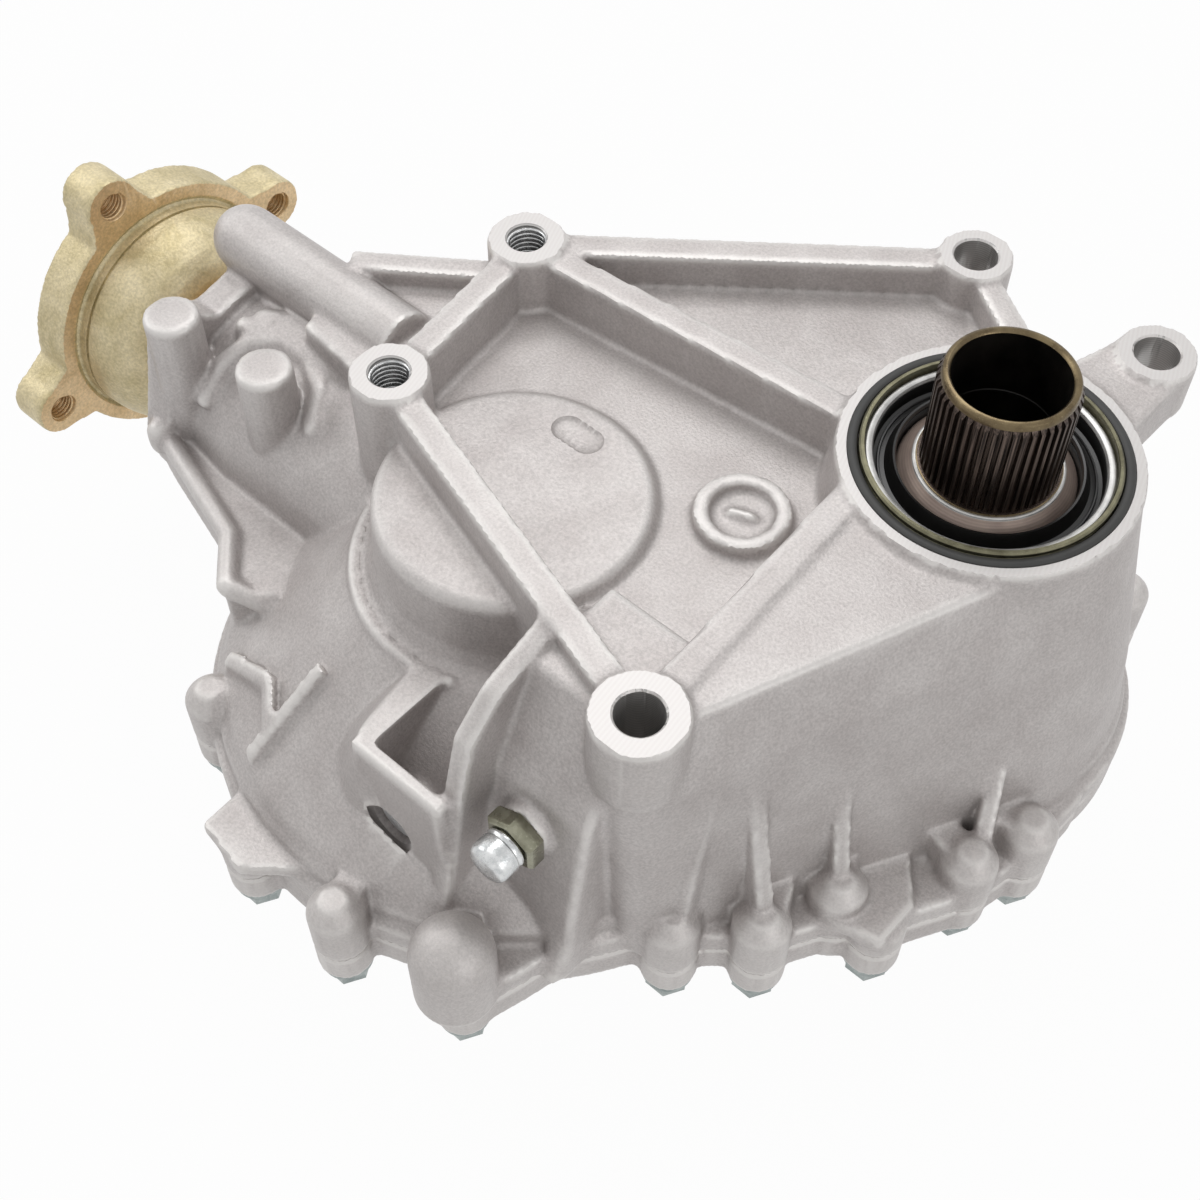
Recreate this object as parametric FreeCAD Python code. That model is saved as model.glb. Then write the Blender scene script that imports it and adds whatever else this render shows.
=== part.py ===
import FreeCAD, Part
import os, math

V = FreeCAD.Vector

# Frame: origin on the input axis, in the machined face that bolts to the transmission.
# +Z runs up the input axis, towards the transmission. The output flange points to -X.
# All sizes are in millimetres.

# Axes and joint plane of the casting
TRANSFER_X = -99.0
TRANSFER_Y = -89.0
PINION_Y = -72.0
PINION_Z = -74.0
SEAM_Z = -112.0

# Mounting bosses on the transmission face: x, y, boss radius
BOSS_A = (-147.6, -89.1, 11.8)
BOSS_B = (-157.1, -20.9, 12.0)
BOSS_C = (-49.2, 65.3, 11.4)
BOSS_D = (14.0, 65.6, 11.7)
BOSS_E = (-16.9, -129.6, 13.3)
MOUNT_HOLE_R = 6.75
MOUNT_THREAD_R = 5.1
MOUNT_THREAD_DEPTH = 24.0
EAR_DEPTH = 18.0
E_COLUMN_DEPTH = 26.0
BOLT_ROOM_R = 12.0
BOLT_ROOM_DEPTH = 16.0

# Deck between the bosses
DECK_Z = -20.0
POCKET_Z = -14.0
RIB_TOP_Z = -2.0
RIB_WIDTH = 9.0
DISC_R = 41.0
DISC_TOP_Z = -16.0
RING_BOSS = (-46.0, -51.0)
RING_BOSS_R = 14.0
RING_BOSS_RISE = 5.0

# Input tower and gear dome of the casting
RIM_R = 43.2
TOWER_FOOT_R = 60.0
DOME_R = 98.0
DOME_SHOULDER_R = 50.0
DOME_SHOULDER_Z = -45.0
DOME_EDGE_Z = -92.0
DOME_WALL = 6.5
DOME_RIB_RISE = 2.6
DOME_RIB_WIDTH = 4.0
DOME_RIBS = [((-120.5, -150.7), (-129.8, -176.9)), ((-161.2, -157.4), (-137.4, -159.5)),
             ((-137.4, -159.5), (-128.3, -168.5))]
TOWER_WALL = 6.5

# Pinion housing
HOUSING_R = 43.0
MOUTH_R = 38.6
MOUTH_X = -244.0
HOUSING_INNER_END_X = -146.0
GALLERY_R = 11.0
GALLERY_Y = -63.0
GALLERY_Z = -24.0
PINION_SEAL_R = 31.0
PINION_SEAL_WIDTH = 8.0
STUB_R = 8.8
STUB_1 = (-232.0, -105.0)
STUB_2 = (-193.0, -101.0)
STUB_TOP_Z = -20.0

# Filler hole, vent and drain
FILLER_X = -76.5
FILLER_Y = -168.0
FILLER_Z = -77.0
FILLER_R = 7.5
FILLER_RECESS = 3.0
FILLER_PLUG_T = 12.0
VENT_X = -37.0
VENT_Y = -153.0
VENT_Z = -52.0
VENT_STEM_R = 4.0
VENT_HEX = 19.0
VENT_HEX_T = 6.0
VENT_CAP_R = 6.6
VENT_CAP_T = 9.0
VENT_LIFT = 0.8
DRAIN = (-52.0, -40.0)
DRAIN_R = 7.0
DRAIN_WASHER_T = 1.5

# Joint flange and cover
FLANGE_T = 12.0
CASE_FLANGE_T = 9.0
FLANGE_LIP = 3.0
LUG_R = 8.6
BOLT_R = 4.0
BOLT_HOLE_R = 4.4
BOLT_HEAD_R = 7.0
BOLT_HEAD_T = 7.5
BOLT_WASHER_R = 8.0
BOLT_WASHER_T = 1.8
BOLT_GRIP = 10.0
LUG_RISE = 18.0
DOME_BOLT_REACH = 7.0
HOUSING_BOLT_REACH = 1.0
TOWER_BOLT_REACH = 8.2
DOWEL_R = 5.0
DOWEL_LENGTH = 14.0
FIN_TOP_Z = -99.0
FIN_T = 5.0
# Fins under two of the bolts: the left one as angle about the transfer axis and reach beyond the dome
LEFT_FIN = [(254.0, 15.2), (263.9, 14.4), (276.1, -4.2), (266.9, -8.1), (258.9, -15.5), (250.6, -1.5)]
RIGHT_FIN = [(22.0, -76.4), (35.8, -64.0), (46.7, -76.9), (46.4, -93.2), (30.9, -97.5), (22.0, -88.0)]
NEAR_EDGE = [(-60.0, -100.0), (-62.0, -170.0), (-48.0, -186.0), (-31.0, -183.0), (-26.0, -166.0),
             (-22.0, -150.0), (-14.0, -140.0), (-3.0, -133.0), (8.0, -122.0), (22.0, -111.0), (30.0, -97.0),
             (44.0, -83.0), (56.0, -62.0), (62.0, -38.0), (63.0, -10.0), (0.0, 0.0)]
DISH_FLOOR_Z = -139.5
DISH_WALL = 4.0
DISH_STEP = 8.5
DISH_T_R = DOME_R - DISH_STEP
DISH_O_R = TOWER_FOOT_R
BASE_Z = -170.0
INPUT_HUB_R = 47.0
TRANSFER_HUB_R = 43.0

# Fits
SEAT_GAP = 0.03
RUN_GAP = 0.3

# Bearings: bore radius, outer radius, width
INPUT_BEARING = (25.0, 40.0, 20.0)
TRANSFER_BEARING = (17.5, 36.0, 18.0)
PINION_HEAD_BEARING = (17.5, 31.0, 18.0)
PINION_TAIL_BEARING = (15.0, 27.5, 17.0)
ROLLERS = 12
ROLLER_GAP = 0.02
ROLLER_TILT_DEG = 11.0
INPUT_TOP_BEARING_Z = -24.0
INPUT_LOW_BEARING_Z = -161.0
TRANSFER_TOP_BEARING_Z = -24.0
TRANSFER_LOW_BEARING_Z = -161.0
HEAD_BEARING_X = -210.5
TAIL_BEARING_X = -216.0

# Input shaft and its seals
SHAFT_TOP_Z = 31.8
SHAFT_BOTTOM_Z = -161.5
SPLINE_R = 19.5
SPLINE_ROOT_R = 18.3
SPLINE_TEETH = 48
SPLINE_FOOT_Z = -2.0
SHAFT_BORE_R = 16.2
SHAFT_BODY_R = 30.0
SLEEVE_R = 25.5
SLEEVE_TOP_Z = -2.5
SLEEVE_BORE_R = 20.0
FACE_SEAL_R = 40.0
FACE_SEAL_INNER_R = 36.95
FACE_SEAL_DEPTH = 3.0
FACE_SEAL_PROUD = 0.8
PILOT_R = 36.6
PILOT_BORE_R = 35.0
PILOT_TOP_Z = 1.6
PILOT_BOTTOM_Z = -18.0
OIL_SEAL_TOP_Z = -1.0
INPUT_SEAL_WIDTH = 12.0
AXLE_SEAL_R = 27.0
AXLE_SEAL_WIDTH = 8.0
AXLE_R = 15.0

# Spur set between input and transfer shafts, helical
INPUT_TEETH = 35
TRANSFER_TEETH = 53
HELIX_DEG = 24.6
GEAR_TOP_Z = -119.0
GEAR_WIDTH = 18.0
GEAR_BACKLASH = 0.5
GEAR_ADDENDUM = 2.5
GEAR_DEDENDUM = 3.3
PRESSURE_DEG = 20.0
GEAR_SEAT_R = 28.0
TRANSFER_SEAT_R = 24.0

# Ring gear and pinion
RING_TEETH = 37
PINION_TEETH = 13
TOOTH_NEAR = 61.0
TOOTH_FAR = 86.0
BEVEL_BACKLASH = 0.55
RING_BODY_BOTTOM_Z = -116.0
RING_SEAT_Z = -112.0
RING_WEB_T = 6.0
RING_FLANGE_T = 6.0
RING_FLANGE_R = 52.0
RING_ADDENDUM = 0.45
RING_DEDENDUM = 1.15
PINION_ADDENDUM = 0.95
PINION_DEDENDUM = 0.65
BEVEL_PRESSURE_DEG = 21.0
RING_BOLTS = 8
RING_BOLT_CIRCLE_R = 38.0

# Output flange
FLANGE_FRONT_X = -300.8
FLANGE_PLATE_T = 14.5
FLANGE_REAR_X = FLANGE_FRONT_X + FLANGE_PLATE_T
FLANGE_BOLT_R = 54.0
FLANGE_RIM_R = 47.0
FLANGE_LOBE_R = 9.6
FLANGE_THREAD_R = 4.3
FLANGE_PHASE_DEG = 13.0
FLANGE_HUB_R = 21.0
BELL_R = 40.0
HUB_SPLINE_R = 13.0
NUT_THREAD_R = 10.0
NUT_ROOM_R = 19.0
FLANGE_RECESS_DEPTH = 22.0
WASHER_T = 3.0
SHIM_T = 1.5
NUT_T = 14.0
NUT_HEX = 34.0
DEFLECTOR_R = 32.0
FLANGE_PILOT_R = 32.0
FLANGE_PILOT_DEPTH = 4.0


def rod(x, y, low, high, radius):
    return Part.makeCylinder(radius, high - low, V(x, y, low))


def rod_x(y, z, low, high, radius):
    return Part.makeCylinder(radius, high - low, V(low, y, z), V(1, 0, 0))


def rod_y(x, z, low, high, radius):
    return Part.makeCylinder(radius, high - low, V(x, low, z), V(0, 1, 0))


def turned(profile, x=0.0, y=0.0):
    """Solid of revolution about a vertical axis; the profile is (radius, z) pairs."""
    points = [V(x + r, y, z) for r, z in profile]
    face = Part.Face(Part.makePolygon(points + [points[0]]))
    return face.revolve(V(x, y, 0), V(0, 0, 1), 360)


def turned_x(profile, y=PINION_Y, z=PINION_Z):
    """Solid of revolution about an axis along X; the profile is (radius, x) pairs."""
    points = [V(along, y, z + r) for r, along in profile]
    face = Part.Face(Part.makePolygon(points + [points[0]]))
    return face.revolve(V(0, y, z), V(1, 0, 0), 360)


def bullet(length, radius, base, axis):
    """Rod from base along the unit vector axis, closed by a half ball with a small flat."""
    flat = math.radians(85)
    arc = Part.Arc(V(radius, 0, length), V(radius * math.cos(flat / 2), 0,
                                           length + radius * math.sin(flat / 2)),
                   V(radius * math.cos(flat), 0, length + radius * math.sin(flat))).toShape()
    tip = length + radius * math.sin(flat)
    edges = [Part.LineSegment(V(radius * math.cos(flat), 0, tip), V(0, 0, tip)).toShape(),
             Part.LineSegment(V(0, 0, tip), V(0, 0, 0)).toShape(),
             Part.LineSegment(V(0, 0, 0), V(radius, 0, 0)).toShape(),
             Part.LineSegment(V(radius, 0, 0), V(radius, 0, length)).toShape(), arc]
    solid = Part.Face(Part.Wire(edges)).revolve(V(0, 0, 0), V(0, 0, 1), 360)
    solid.Placement = FreeCAD.Placement(base, FreeCAD.Rotation(V(0, 0, 1), axis))
    return solid


def prism(points, low, high):
    corners = [V(x, y, low) for x, y in points]
    return Part.Face(Part.makePolygon(corners + [corners[0]])).extrude(V(0, 0, high - low))


def hull_wire(one, two, z):
    """Outline round two circles (x, y, radius) with their outer tangents."""
    dx, dy = two[0] - one[0], two[1] - one[1]
    distance = math.hypot(dx, dy)
    along = math.atan2(dy, dx)
    swing = math.acos((one[2] - two[2]) / distance)

    def at(circle, angle):
        return V(circle[0] + circle[2] * math.cos(angle), circle[1] + circle[2] * math.sin(angle), z)

    a1, a2 = at(one, along + swing), at(one, along - swing)
    b1, b2 = at(two, along + swing), at(two, along - swing)
    edges = [Part.Arc(a1, at(one, along + math.pi), a2).toShape(), Part.LineSegment(a2, b2).toShape(),
             Part.Arc(b2, at(two, along), b1).toShape(), Part.LineSegment(b1, a1).toShape()]
    return Part.Wire(edges)


def hull_prism(one, two, low, high):
    return Part.Face(hull_wire(one, two, low)).extrude(V(0, 0, high - low))


def hull_loft(low_pair, low, high_pair, high):
    return Part.makeLoft([hull_wire(low_pair[0], low_pair[1], low),
                          hull_wire(high_pair[0], high_pair[1], high)],
                         True, True)


def wall(start, end, width, low, high):
    """Straight wall between two plan points."""
    dx, dy = end[0] - start[0], end[1] - start[1]
    length = math.hypot(dx, dy)
    nx, ny = -dy / length * width / 2, dx / length * width / 2
    return prism([(start[0] + nx, start[1] + ny), (end[0] + nx, end[1] + ny),
                  (end[0] - nx, end[1] - ny), (start[0] - nx, start[1] - ny)], low, high)


def fuse(shapes):
    return shapes[0].fuse(shapes[1:]).removeSplitter()


def save(name, shape):
    shape.exportStep(os.path.join("parts", name + ".step"))


# Joint bolts round the cover: plan positions of the lugs
def joint_bolts():
    round_transfer = [round_dome(a, DOME_BOLT_REACH) for a in (120, 150, 282)]
    at_housing = [round_dome(a, HOUSING_BOLT_REACH) for a in (196, 232)]
    round_input = [polar(0, 0, TOWER_FOOT_R + TOWER_BOLT_REACH, a) for a in (-31, 62, 90, 118)]
    near_side = [(-38.0, -181.0), (-2.0, -130.0), (18.0, -113.0), (51.0, -56.0)]
    far_side = [far_flank(share, TOWER_BOLT_REACH) for share in (0.28, 0.66)]
    return round_transfer + at_housing + round_input + near_side + far_side + bolts_under_fins()


def bolts_under_fins():
    return [round_dome(260, DOME_BOLT_REACH - 1), (40.5, -85.5)]


def round_dome(degrees, reach):
    return polar(TRANSFER_X, TRANSFER_Y, DOME_R + reach, degrees)


def far_flank(share, reach):
    """Point beside the far tangent of dome and tower, share of the way from the dome to the tower."""
    along = math.atan2(-TRANSFER_Y, -TRANSFER_X)
    normal = along + math.acos((DOME_R - TOWER_FOOT_R) / math.hypot(TRANSFER_X, TRANSFER_Y))
    away = DOME_R + (TOWER_FOOT_R - DOME_R) * share + reach
    return (TRANSFER_X * (1 - share) + away * math.cos(normal),
            TRANSFER_Y * (1 - share) + away * math.sin(normal))


def polar(x, y, radius, degrees):
    return x + radius * math.cos(math.radians(degrees)), y + radius * math.sin(math.radians(degrees))


def joint_outline(low, high):
    """Plate that both halves share at the joint, with a lug at every bolt."""
    body = hull_prism((TRANSFER_X, TRANSFER_Y, DOME_R + FLANGE_LIP), (0, 0, TOWER_FOOT_R + FLANGE_LIP),
                      low, high)
    edge = prism(NEAR_EDGE, low, high)
    lugs = [rod(x, y, low, high, LUG_R) for x, y in joint_bolts() + dowels()]
    return fuse([body, edge] + lugs)


def side_slab(points, x, thickness):
    """Plate across X, drawn as (y, z) points and laid from x towards +X."""
    corners = [V(x, y, z) for y, z in points]
    return Part.Face(Part.makePolygon(corners + [corners[0]])).extrude(V(thickness, 0, 0))


def dome(growth=0.0):
    profile = [(DISC_R - 2, DISC_TOP_Z), (DISC_R, DISC_TOP_Z - 2), (DISC_R + 1, DOME_SHOULDER_Z + 8),
               (DISC_R + 3.5, DOME_SHOULDER_Z + 2), (DOME_SHOULDER_R, DOME_SHOULDER_Z - 1),
               (DOME_R - 4, DOME_EDGE_Z + 2), (DOME_R - 1, DOME_EDGE_Z - 4), (DOME_R, SEAM_Z)]
    grown = [(r + growth, z + growth if z > SEAM_Z else z) for r, z in profile]
    return turned([(0, DISC_TOP_Z + growth)] + grown + [(0, SEAM_Z)], TRANSFER_X, TRANSFER_Y)


def dome_ribs():
    """Narrow flow ribs that follow the dome's slope towards the pinion housing."""
    skin = dome(DOME_RIB_RISE)
    return [wall(a, b, DOME_RIB_WIDTH, SEAM_Z, DOME_SHOULDER_Z).common(skin) for a, b in DOME_RIBS]


def tower():
    profile = [(0, 0), (RIM_R, 0), (RIM_R, -5), (RIM_R + 2.5, -20), (RIM_R + 7, -45), (RIM_R + 12, -72),
               (TOWER_FOOT_R - 1, -100), (TOWER_FOOT_R, SEAM_Z), (0, SEAM_Z)]
    return turned(profile)


def deck():
    """Floor and rib walls between the mounting bosses."""
    a, b, c, e = BOSS_A[:2], BOSS_B[:2], BOSS_C[:2], BOSS_E[:2]
    slab = prism([a, b, (c[0] - 6, c[1] - 12), (0, 0), e], SEAM_Z + 2, DECK_Z)
    pocket = prism([b, c, (-4, 40), (0, 0)], POCKET_Z - 30, POCKET_Z)
    walls = [wall(a, b, RIB_WIDTH, -60, RIB_TOP_Z), wall(b, c, RIB_WIDTH, -60, RIB_TOP_Z),
             wall(a, e, RIB_WIDTH, -80, RIB_TOP_Z), wall(b, (-30, -10), RIB_WIDTH, DECK_Z - 2, RIB_TOP_Z),
             wall(c, (-8, 38), RIB_WIDTH - 1, -50, RIB_TOP_Z),
             wall(e, (-22, -30), RIB_WIDTH, -60, RIB_TOP_Z)]
    bosses = [rod(a[0], a[1], -60, 0, BOSS_A[2]), rod(b[0], b[1], -60, 0, BOSS_B[2]),
              rod(c[0], c[1], -EAR_DEPTH, 0, BOSS_C[2]), rod(e[0], e[1], -E_COLUMN_DEPTH, 0, BOSS_E[2])]
    ear = hull_prism((BOSS_D[0], BOSS_D[1], BOSS_D[2] - 0.5), (8, 30, 16), -EAR_DEPTH, RIB_TOP_Z)
    boss_d = rod(BOSS_D[0], BOSS_D[1], -EAR_DEPTH, 0, BOSS_D[2])
    ring_top = DECK_Z + RING_BOSS_RISE
    ring = rod(RING_BOSS[0], RING_BOSS[1], DECK_Z - 1, ring_top, RING_BOSS_R)
    ring = ring.cut(rod(RING_BOSS[0], RING_BOSS[1], ring_top - 3.5, ring_top + 1, RING_BOSS_R - 4.2))
    bar = wall((RING_BOSS[0] - 4, RING_BOSS[1] - 1.5), (RING_BOSS[0] + 4, RING_BOSS[1] + 1.5), 2.2, DECK_Z,
               ring_top - 1.5)
    return [slab, pocket] + walls + bosses + [ear, boss_d, ring, bar]


def near_wall():
    """Sloping wall from the input rim and boss E down to the joint."""
    top = ((BOSS_E[0], BOSS_E[1], 5.0), (9, -4, RIM_R - 15))
    shoulder = ((BOSS_E[0], BOSS_E[1], BOSS_E[2] - 1), (8, -4, RIM_R - 6))
    foot = ((-12.0, -128.0, 11.0), (3.0, -6.0, 59.0))
    lower = hull_loft(foot, SEAM_Z, shoulder, -26)
    return lower.fuse(hull_loft(shoulder, -26, top, RIB_TOP_Z - 1))


def pinion_housing():
    tube = turned_x([(0, MOUTH_X), (MOUTH_R - 2, MOUTH_X), (MOUTH_R, MOUTH_X + 2),
                     (MOUTH_R + 1, MOUTH_X + 14),
                     (HOUSING_R, MOUTH_X + 36), (HOUSING_R + 1, HOUSING_INNER_END_X),
                     (0, HOUSING_INNER_END_X)])
    gallery = bullet(-170 - MOUTH_X, GALLERY_R, V(-170, GALLERY_Y, GALLERY_Z), V(-1, 0, 0))
    web = prism([(MOUTH_X + 1, GALLERY_Y - 9), (-150, GALLERY_Y - 9), (-150, GALLERY_Y + 9),
                 (MOUTH_X + 1, GALLERY_Y + 9)], PINION_Z + 20, GALLERY_Z)
    saddle = prism([(-160, -26), (-163, -84), (-198, -80), (-205, -55), (-176, -22)], -60, GALLERY_Z + 3)
    saddle_rib = wall(BOSS_B[:2], (-203, -54), RIB_WIDTH - 1, -60, GALLERY_Z + 10)
    stub_1 = rod(STUB_1[0], STUB_1[1], PINION_Z, STUB_TOP_Z, STUB_R)
    stub_2 = rod(STUB_2[0], STUB_2[1], PINION_Z, STUB_TOP_Z, STUB_R)
    mouth = side_slab([(-72, -112), (-74, -30), (-88, -33), (-97, -27), (-108, -30), (-113, -51),
                       (-118, -69),
                       (-117, -85), (-100, -106)], MOUTH_X, 12)
    skirt = prism([(MOUTH_X + 3, -72), (MOUTH_X + 3, -116), (-232, -119), (-187, -132), (-171, -147),
                   (-150, -130),
                   (-150, -72)], PINION_Z - 16, PINION_Z + 4)
    far_skirt = prism([(-226, -72), (-226, -29), (-190, -20), (-150, -20), (-150, -72)], PINION_Z - 16,
                      PINION_Z + 4)
    knob = Part.makeSphere(5.5, V(MOUTH_X + 4, -113, PINION_Z + 3))
    return [tube, gallery, web, saddle, saddle_rib, stub_1, stub_2, mouth, skirt, far_skirt, knob]


def side_walls():
    """Bulkhead, filler pocket and the ribs of the near side."""
    bulkhead = side_slab([(-95, -30), (-118, RIB_TOP_Z), (-144, RIB_TOP_Z - 9), (-156, -22), (-161, -40),
                          (-173, -100), (-178, SEAM_Z), (-95, SEAM_Z)], -58, 6.5)
    vent_wall = side_slab([(-100, -8), (-132, -8), (-148, -40), (-155, -80), (-158, SEAM_Z),
                           (-100, SEAM_Z)],
                          -52, 34)
    rib_e = side_slab([(-110, -12), (-136, -12), (-143, -30), (-149, -70), (-162, SEAM_Z), (-110, SEAM_Z)],
                      -25, 6)
    rib_f = side_slab([(-108, -20), (-119, -30), (-127, -70), (-130, -95), (-138, SEAM_Z), (-108, SEAM_Z)],
                      -4, 6)
    plate_back = FILLER_Y + 4.5
    plate = prism([(FILLER_X - 11.5, FILLER_Y), (-54, FILLER_Y), (-54, plate_back),
                   (FILLER_X - 11.5, plate_back)], SEAM_Z, -44)
    mound = hull_loft(((-112, -152, 24), (-78, -150, 20)), SEAM_Z, ((-82, -159.5, 8), (-84, -132, 10)), -44)
    pocket_x = FILLER_X - 7
    mound = mound.cut(prism([(pocket_x, plate_back), (-50, plate_back), (-50, -128), (pocket_x, -128)],
                            -98, -40))
    boss = rod_y(FILLER_X, FILLER_Z, FILLER_Y, FILLER_Y + 22, 11)
    vent_boss = rod_y(VENT_X, VENT_Z, VENT_Y, VENT_Y + 12, 8)
    return [bulkhead, vent_wall, rib_e, rib_f, plate, mound, boss, vent_boss]


def lug_columns():
    columns = []
    for x, y in joint_bolts() + dowels():
        tall = (x, y) not in bolts_under_fins()
        top = SEAM_Z + LUG_RISE if tall else FIN_TOP_Z - FIN_T
        columns.append(rod(x, y, SEAM_Z, top, LUG_R))
        if tall:
            columns.append(Part.makeCone(LUG_R, LUG_R * 0.5, 5, V(x, y, top)))
            inward = web_foot(x, y)
            columns.append(hull_loft(((x, y, LUG_R - 0.7), inward), SEAM_Z, ((x, y, LUG_R - 3), inward),
                                     top + 3))
    left_fin = [round_dome(angle, reach) for angle, reach in LEFT_FIN]
    columns += [prism(points, FIN_TOP_Z - FIN_T, FIN_TOP_Z) for points in (left_fin, RIGHT_FIN)]
    columns.append(bullet(22, 12.5, V(-40, -181, SEAM_Z), V(0, 0, 1)))
    return columns


def web_foot(x, y):
    """End circle of the short web that ties a lug to the wall behind it."""
    middle = (TRANSFER_X, TRANSFER_Y) if x < -20 else (0.0, -50.0)
    away = math.hypot(x - middle[0], y - middle[1])
    reach = 13.0
    return x - (x - middle[0]) / away * reach, y - (y - middle[1]) / away * reach, LUG_R - 4.5


def gusset(top, foot, width):
    """Vertical web whose sloping edge runs from a high inner point to a low outer one."""
    dx, dy = foot[0] - top[0], foot[1] - top[1]
    length = math.hypot(dx, dy)
    nx, ny = -dy / length * width / 2, dx / length * width / 2
    inner = (top[0] - dx / length * 12, top[1] - dy / length * 12)
    rise = [V(top[0] - nx, top[1] - ny, top[2]), V(foot[0] - nx, foot[1] - ny, foot[2]),
            V(foot[0] - nx, foot[1] - ny, SEAM_Z), V(inner[0] - nx, inner[1] - ny, SEAM_Z),
            V(inner[0] - nx, inner[1] - ny, top[2])]
    return Part.Face(Part.makePolygon(rise + [rise[0]])).extrude(V(2 * nx, 2 * ny, 0))


def case_cavity():
    low = SEAM_Z - 1
    tower_room = turned([(0, -40), (40.5, -40), (44, -52), (49, -76), (TOWER_FOOT_R - TOWER_WALL, low),
                         (0, low)])
    reach = DOME_WALL * math.sqrt(2)
    dome_room = turned([(0, -36), (37, -36), (DOME_SHOULDER_R - 8, DOME_SHOULDER_Z - 6),
                        (DOME_R - DOME_WALL, DOME_EDGE_Z - reach + 3), (DOME_R - DOME_WALL, low), (0, low)],
                       TRANSFER_X, TRANSFER_Y)
    link = hull_loft(((TRANSFER_X, TRANSFER_Y, DOME_R - DOME_WALL), (0, 0, TOWER_FOOT_R - TOWER_WALL)), low,
                     ((TRANSFER_X, TRANSFER_Y, 30.0), (0, 0, 34.0)), DECK_Z - 9)
    gear_room = rod_x(PINION_Y, PINION_Z, -190.5, -152, HOUSING_R - 5)
    return [tower_room, dome_room, link, gear_room]


def main_case():
    outer = [dome(), tower(), near_wall()] + deck() + pinion_housing() + side_walls() + lug_columns()
    outer += [gusset((5, -107, -30), (19, -112, -92), 5), gusset((15, -80, -40), (28, -89, -90), 5),
              gusset((43, -36, -70), (52, -52, -94), 5)]
    outer += dome_ribs()
    outer.append(hull_prism((TRANSFER_X, TRANSFER_Y, DOME_R), (0, 0, TOWER_FOOT_R), SEAM_Z,
                            DOME_EDGE_Z - 4))
    outer.append(joint_outline(SEAM_Z, SEAM_Z + CASE_FLANGE_T))
    body = fuse(outer)
    below = hull_prism((TRANSFER_X, TRANSFER_Y, DOME_R + 8), (0, 0, 90), SEAM_Z - 40, SEAM_Z)
    body = body.cut([below] + case_cavity())
    seats = [rod(0, 0, INPUT_TOP_BEARING_Z - INPUT_BEARING[2] * 0.9, DECK_Z, RIM_R + 2),
             rod(TRANSFER_X, TRANSFER_Y, TRANSFER_TOP_BEARING_Z - TRANSFER_BEARING[2] * 0.9, DECK_Z,
                 DISC_R - 0.5),
             rod_x(PINION_Y, PINION_Z, MOUTH_X + 10, -190.5, MOUTH_R - 2)]
    return body.fuse(seats).cut(case_bores())


def case_bores():
    top, width = INPUT_TOP_BEARING_Z, INPUT_BEARING[2]
    bores = [rod(0, 0, top - width - 2, top, INPUT_BEARING[1] + SEAT_GAP),
             rod(0, 0, top - 1, PILOT_BOTTOM_Z + 1, PILOT_R - 4),
             rod(0, 0, PILOT_BOTTOM_Z, 1, PILOT_R + SEAT_GAP),
             rod(0, 0, -FACE_SEAL_DEPTH, 1, FACE_SEAL_R + SEAT_GAP),
             rod(TRANSFER_X, TRANSFER_Y, TRANSFER_TOP_BEARING_Z - TRANSFER_BEARING[2] - 2,
                 TRANSFER_TOP_BEARING_Z,
                 TRANSFER_BEARING[1] + SEAT_GAP),
             rod_x(PINION_Y, PINION_Z, HEAD_BEARING_X, -188, PINION_HEAD_BEARING[1] + SEAT_GAP),
             rod_x(PINION_Y, PINION_Z, TAIL_BEARING_X - 1, HEAD_BEARING_X + 1, PINION_TAIL_BEARING[1] - 3),
             rod_x(PINION_Y, PINION_Z, MOUTH_X - 1, TAIL_BEARING_X, PINION_TAIL_BEARING[1] + SEAT_GAP),
             rod_x(PINION_Y, PINION_Z, MOUTH_X - 1, MOUTH_X + PINION_SEAL_WIDTH + 0.5,
                   PINION_SEAL_R + SEAT_GAP),
             rod_y(FILLER_X, FILLER_Z, FILLER_Y - 1, FILLER_Y + 26, FILLER_R + SEAT_GAP),
             rod_y(VENT_X, VENT_Z, VENT_Y - 1, VENT_Y + 30, VENT_STEM_R + SEAT_GAP)]
    for boss, depth in ((BOSS_C, EAR_DEPTH), (BOSS_D, EAR_DEPTH), (BOSS_E, E_COLUMN_DEPTH)):
        bores.append(rod(boss[0], boss[1], -depth - 1, 1, MOUNT_HOLE_R))
    for boss in (BOSS_C, BOSS_D):
        bores.append(rod(boss[0], boss[1], -EAR_DEPTH - BOLT_ROOM_DEPTH, -EAR_DEPTH, BOLT_ROOM_R))
    for boss in (BOSS_A, BOSS_B):
        bores.append(rod(boss[0], boss[1], -MOUNT_THREAD_DEPTH, 1, MOUNT_THREAD_R))
    for x, y in joint_bolts():
        bores.append(rod(x, y, SEAM_Z - 1, SEAM_Z + BOLT_GRIP + 1, BOLT_R + SEAT_GAP))
    for x, y in dowels():
        bores.append(rod(x, y, SEAM_Z - 1, SEAM_Z + DOWEL_LENGTH / 2 + 1, DOWEL_R + SEAT_GAP))
    return bores


def dowels():
    return [(27.5, -89.0), far_flank(0.103, 6.5)]


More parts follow.
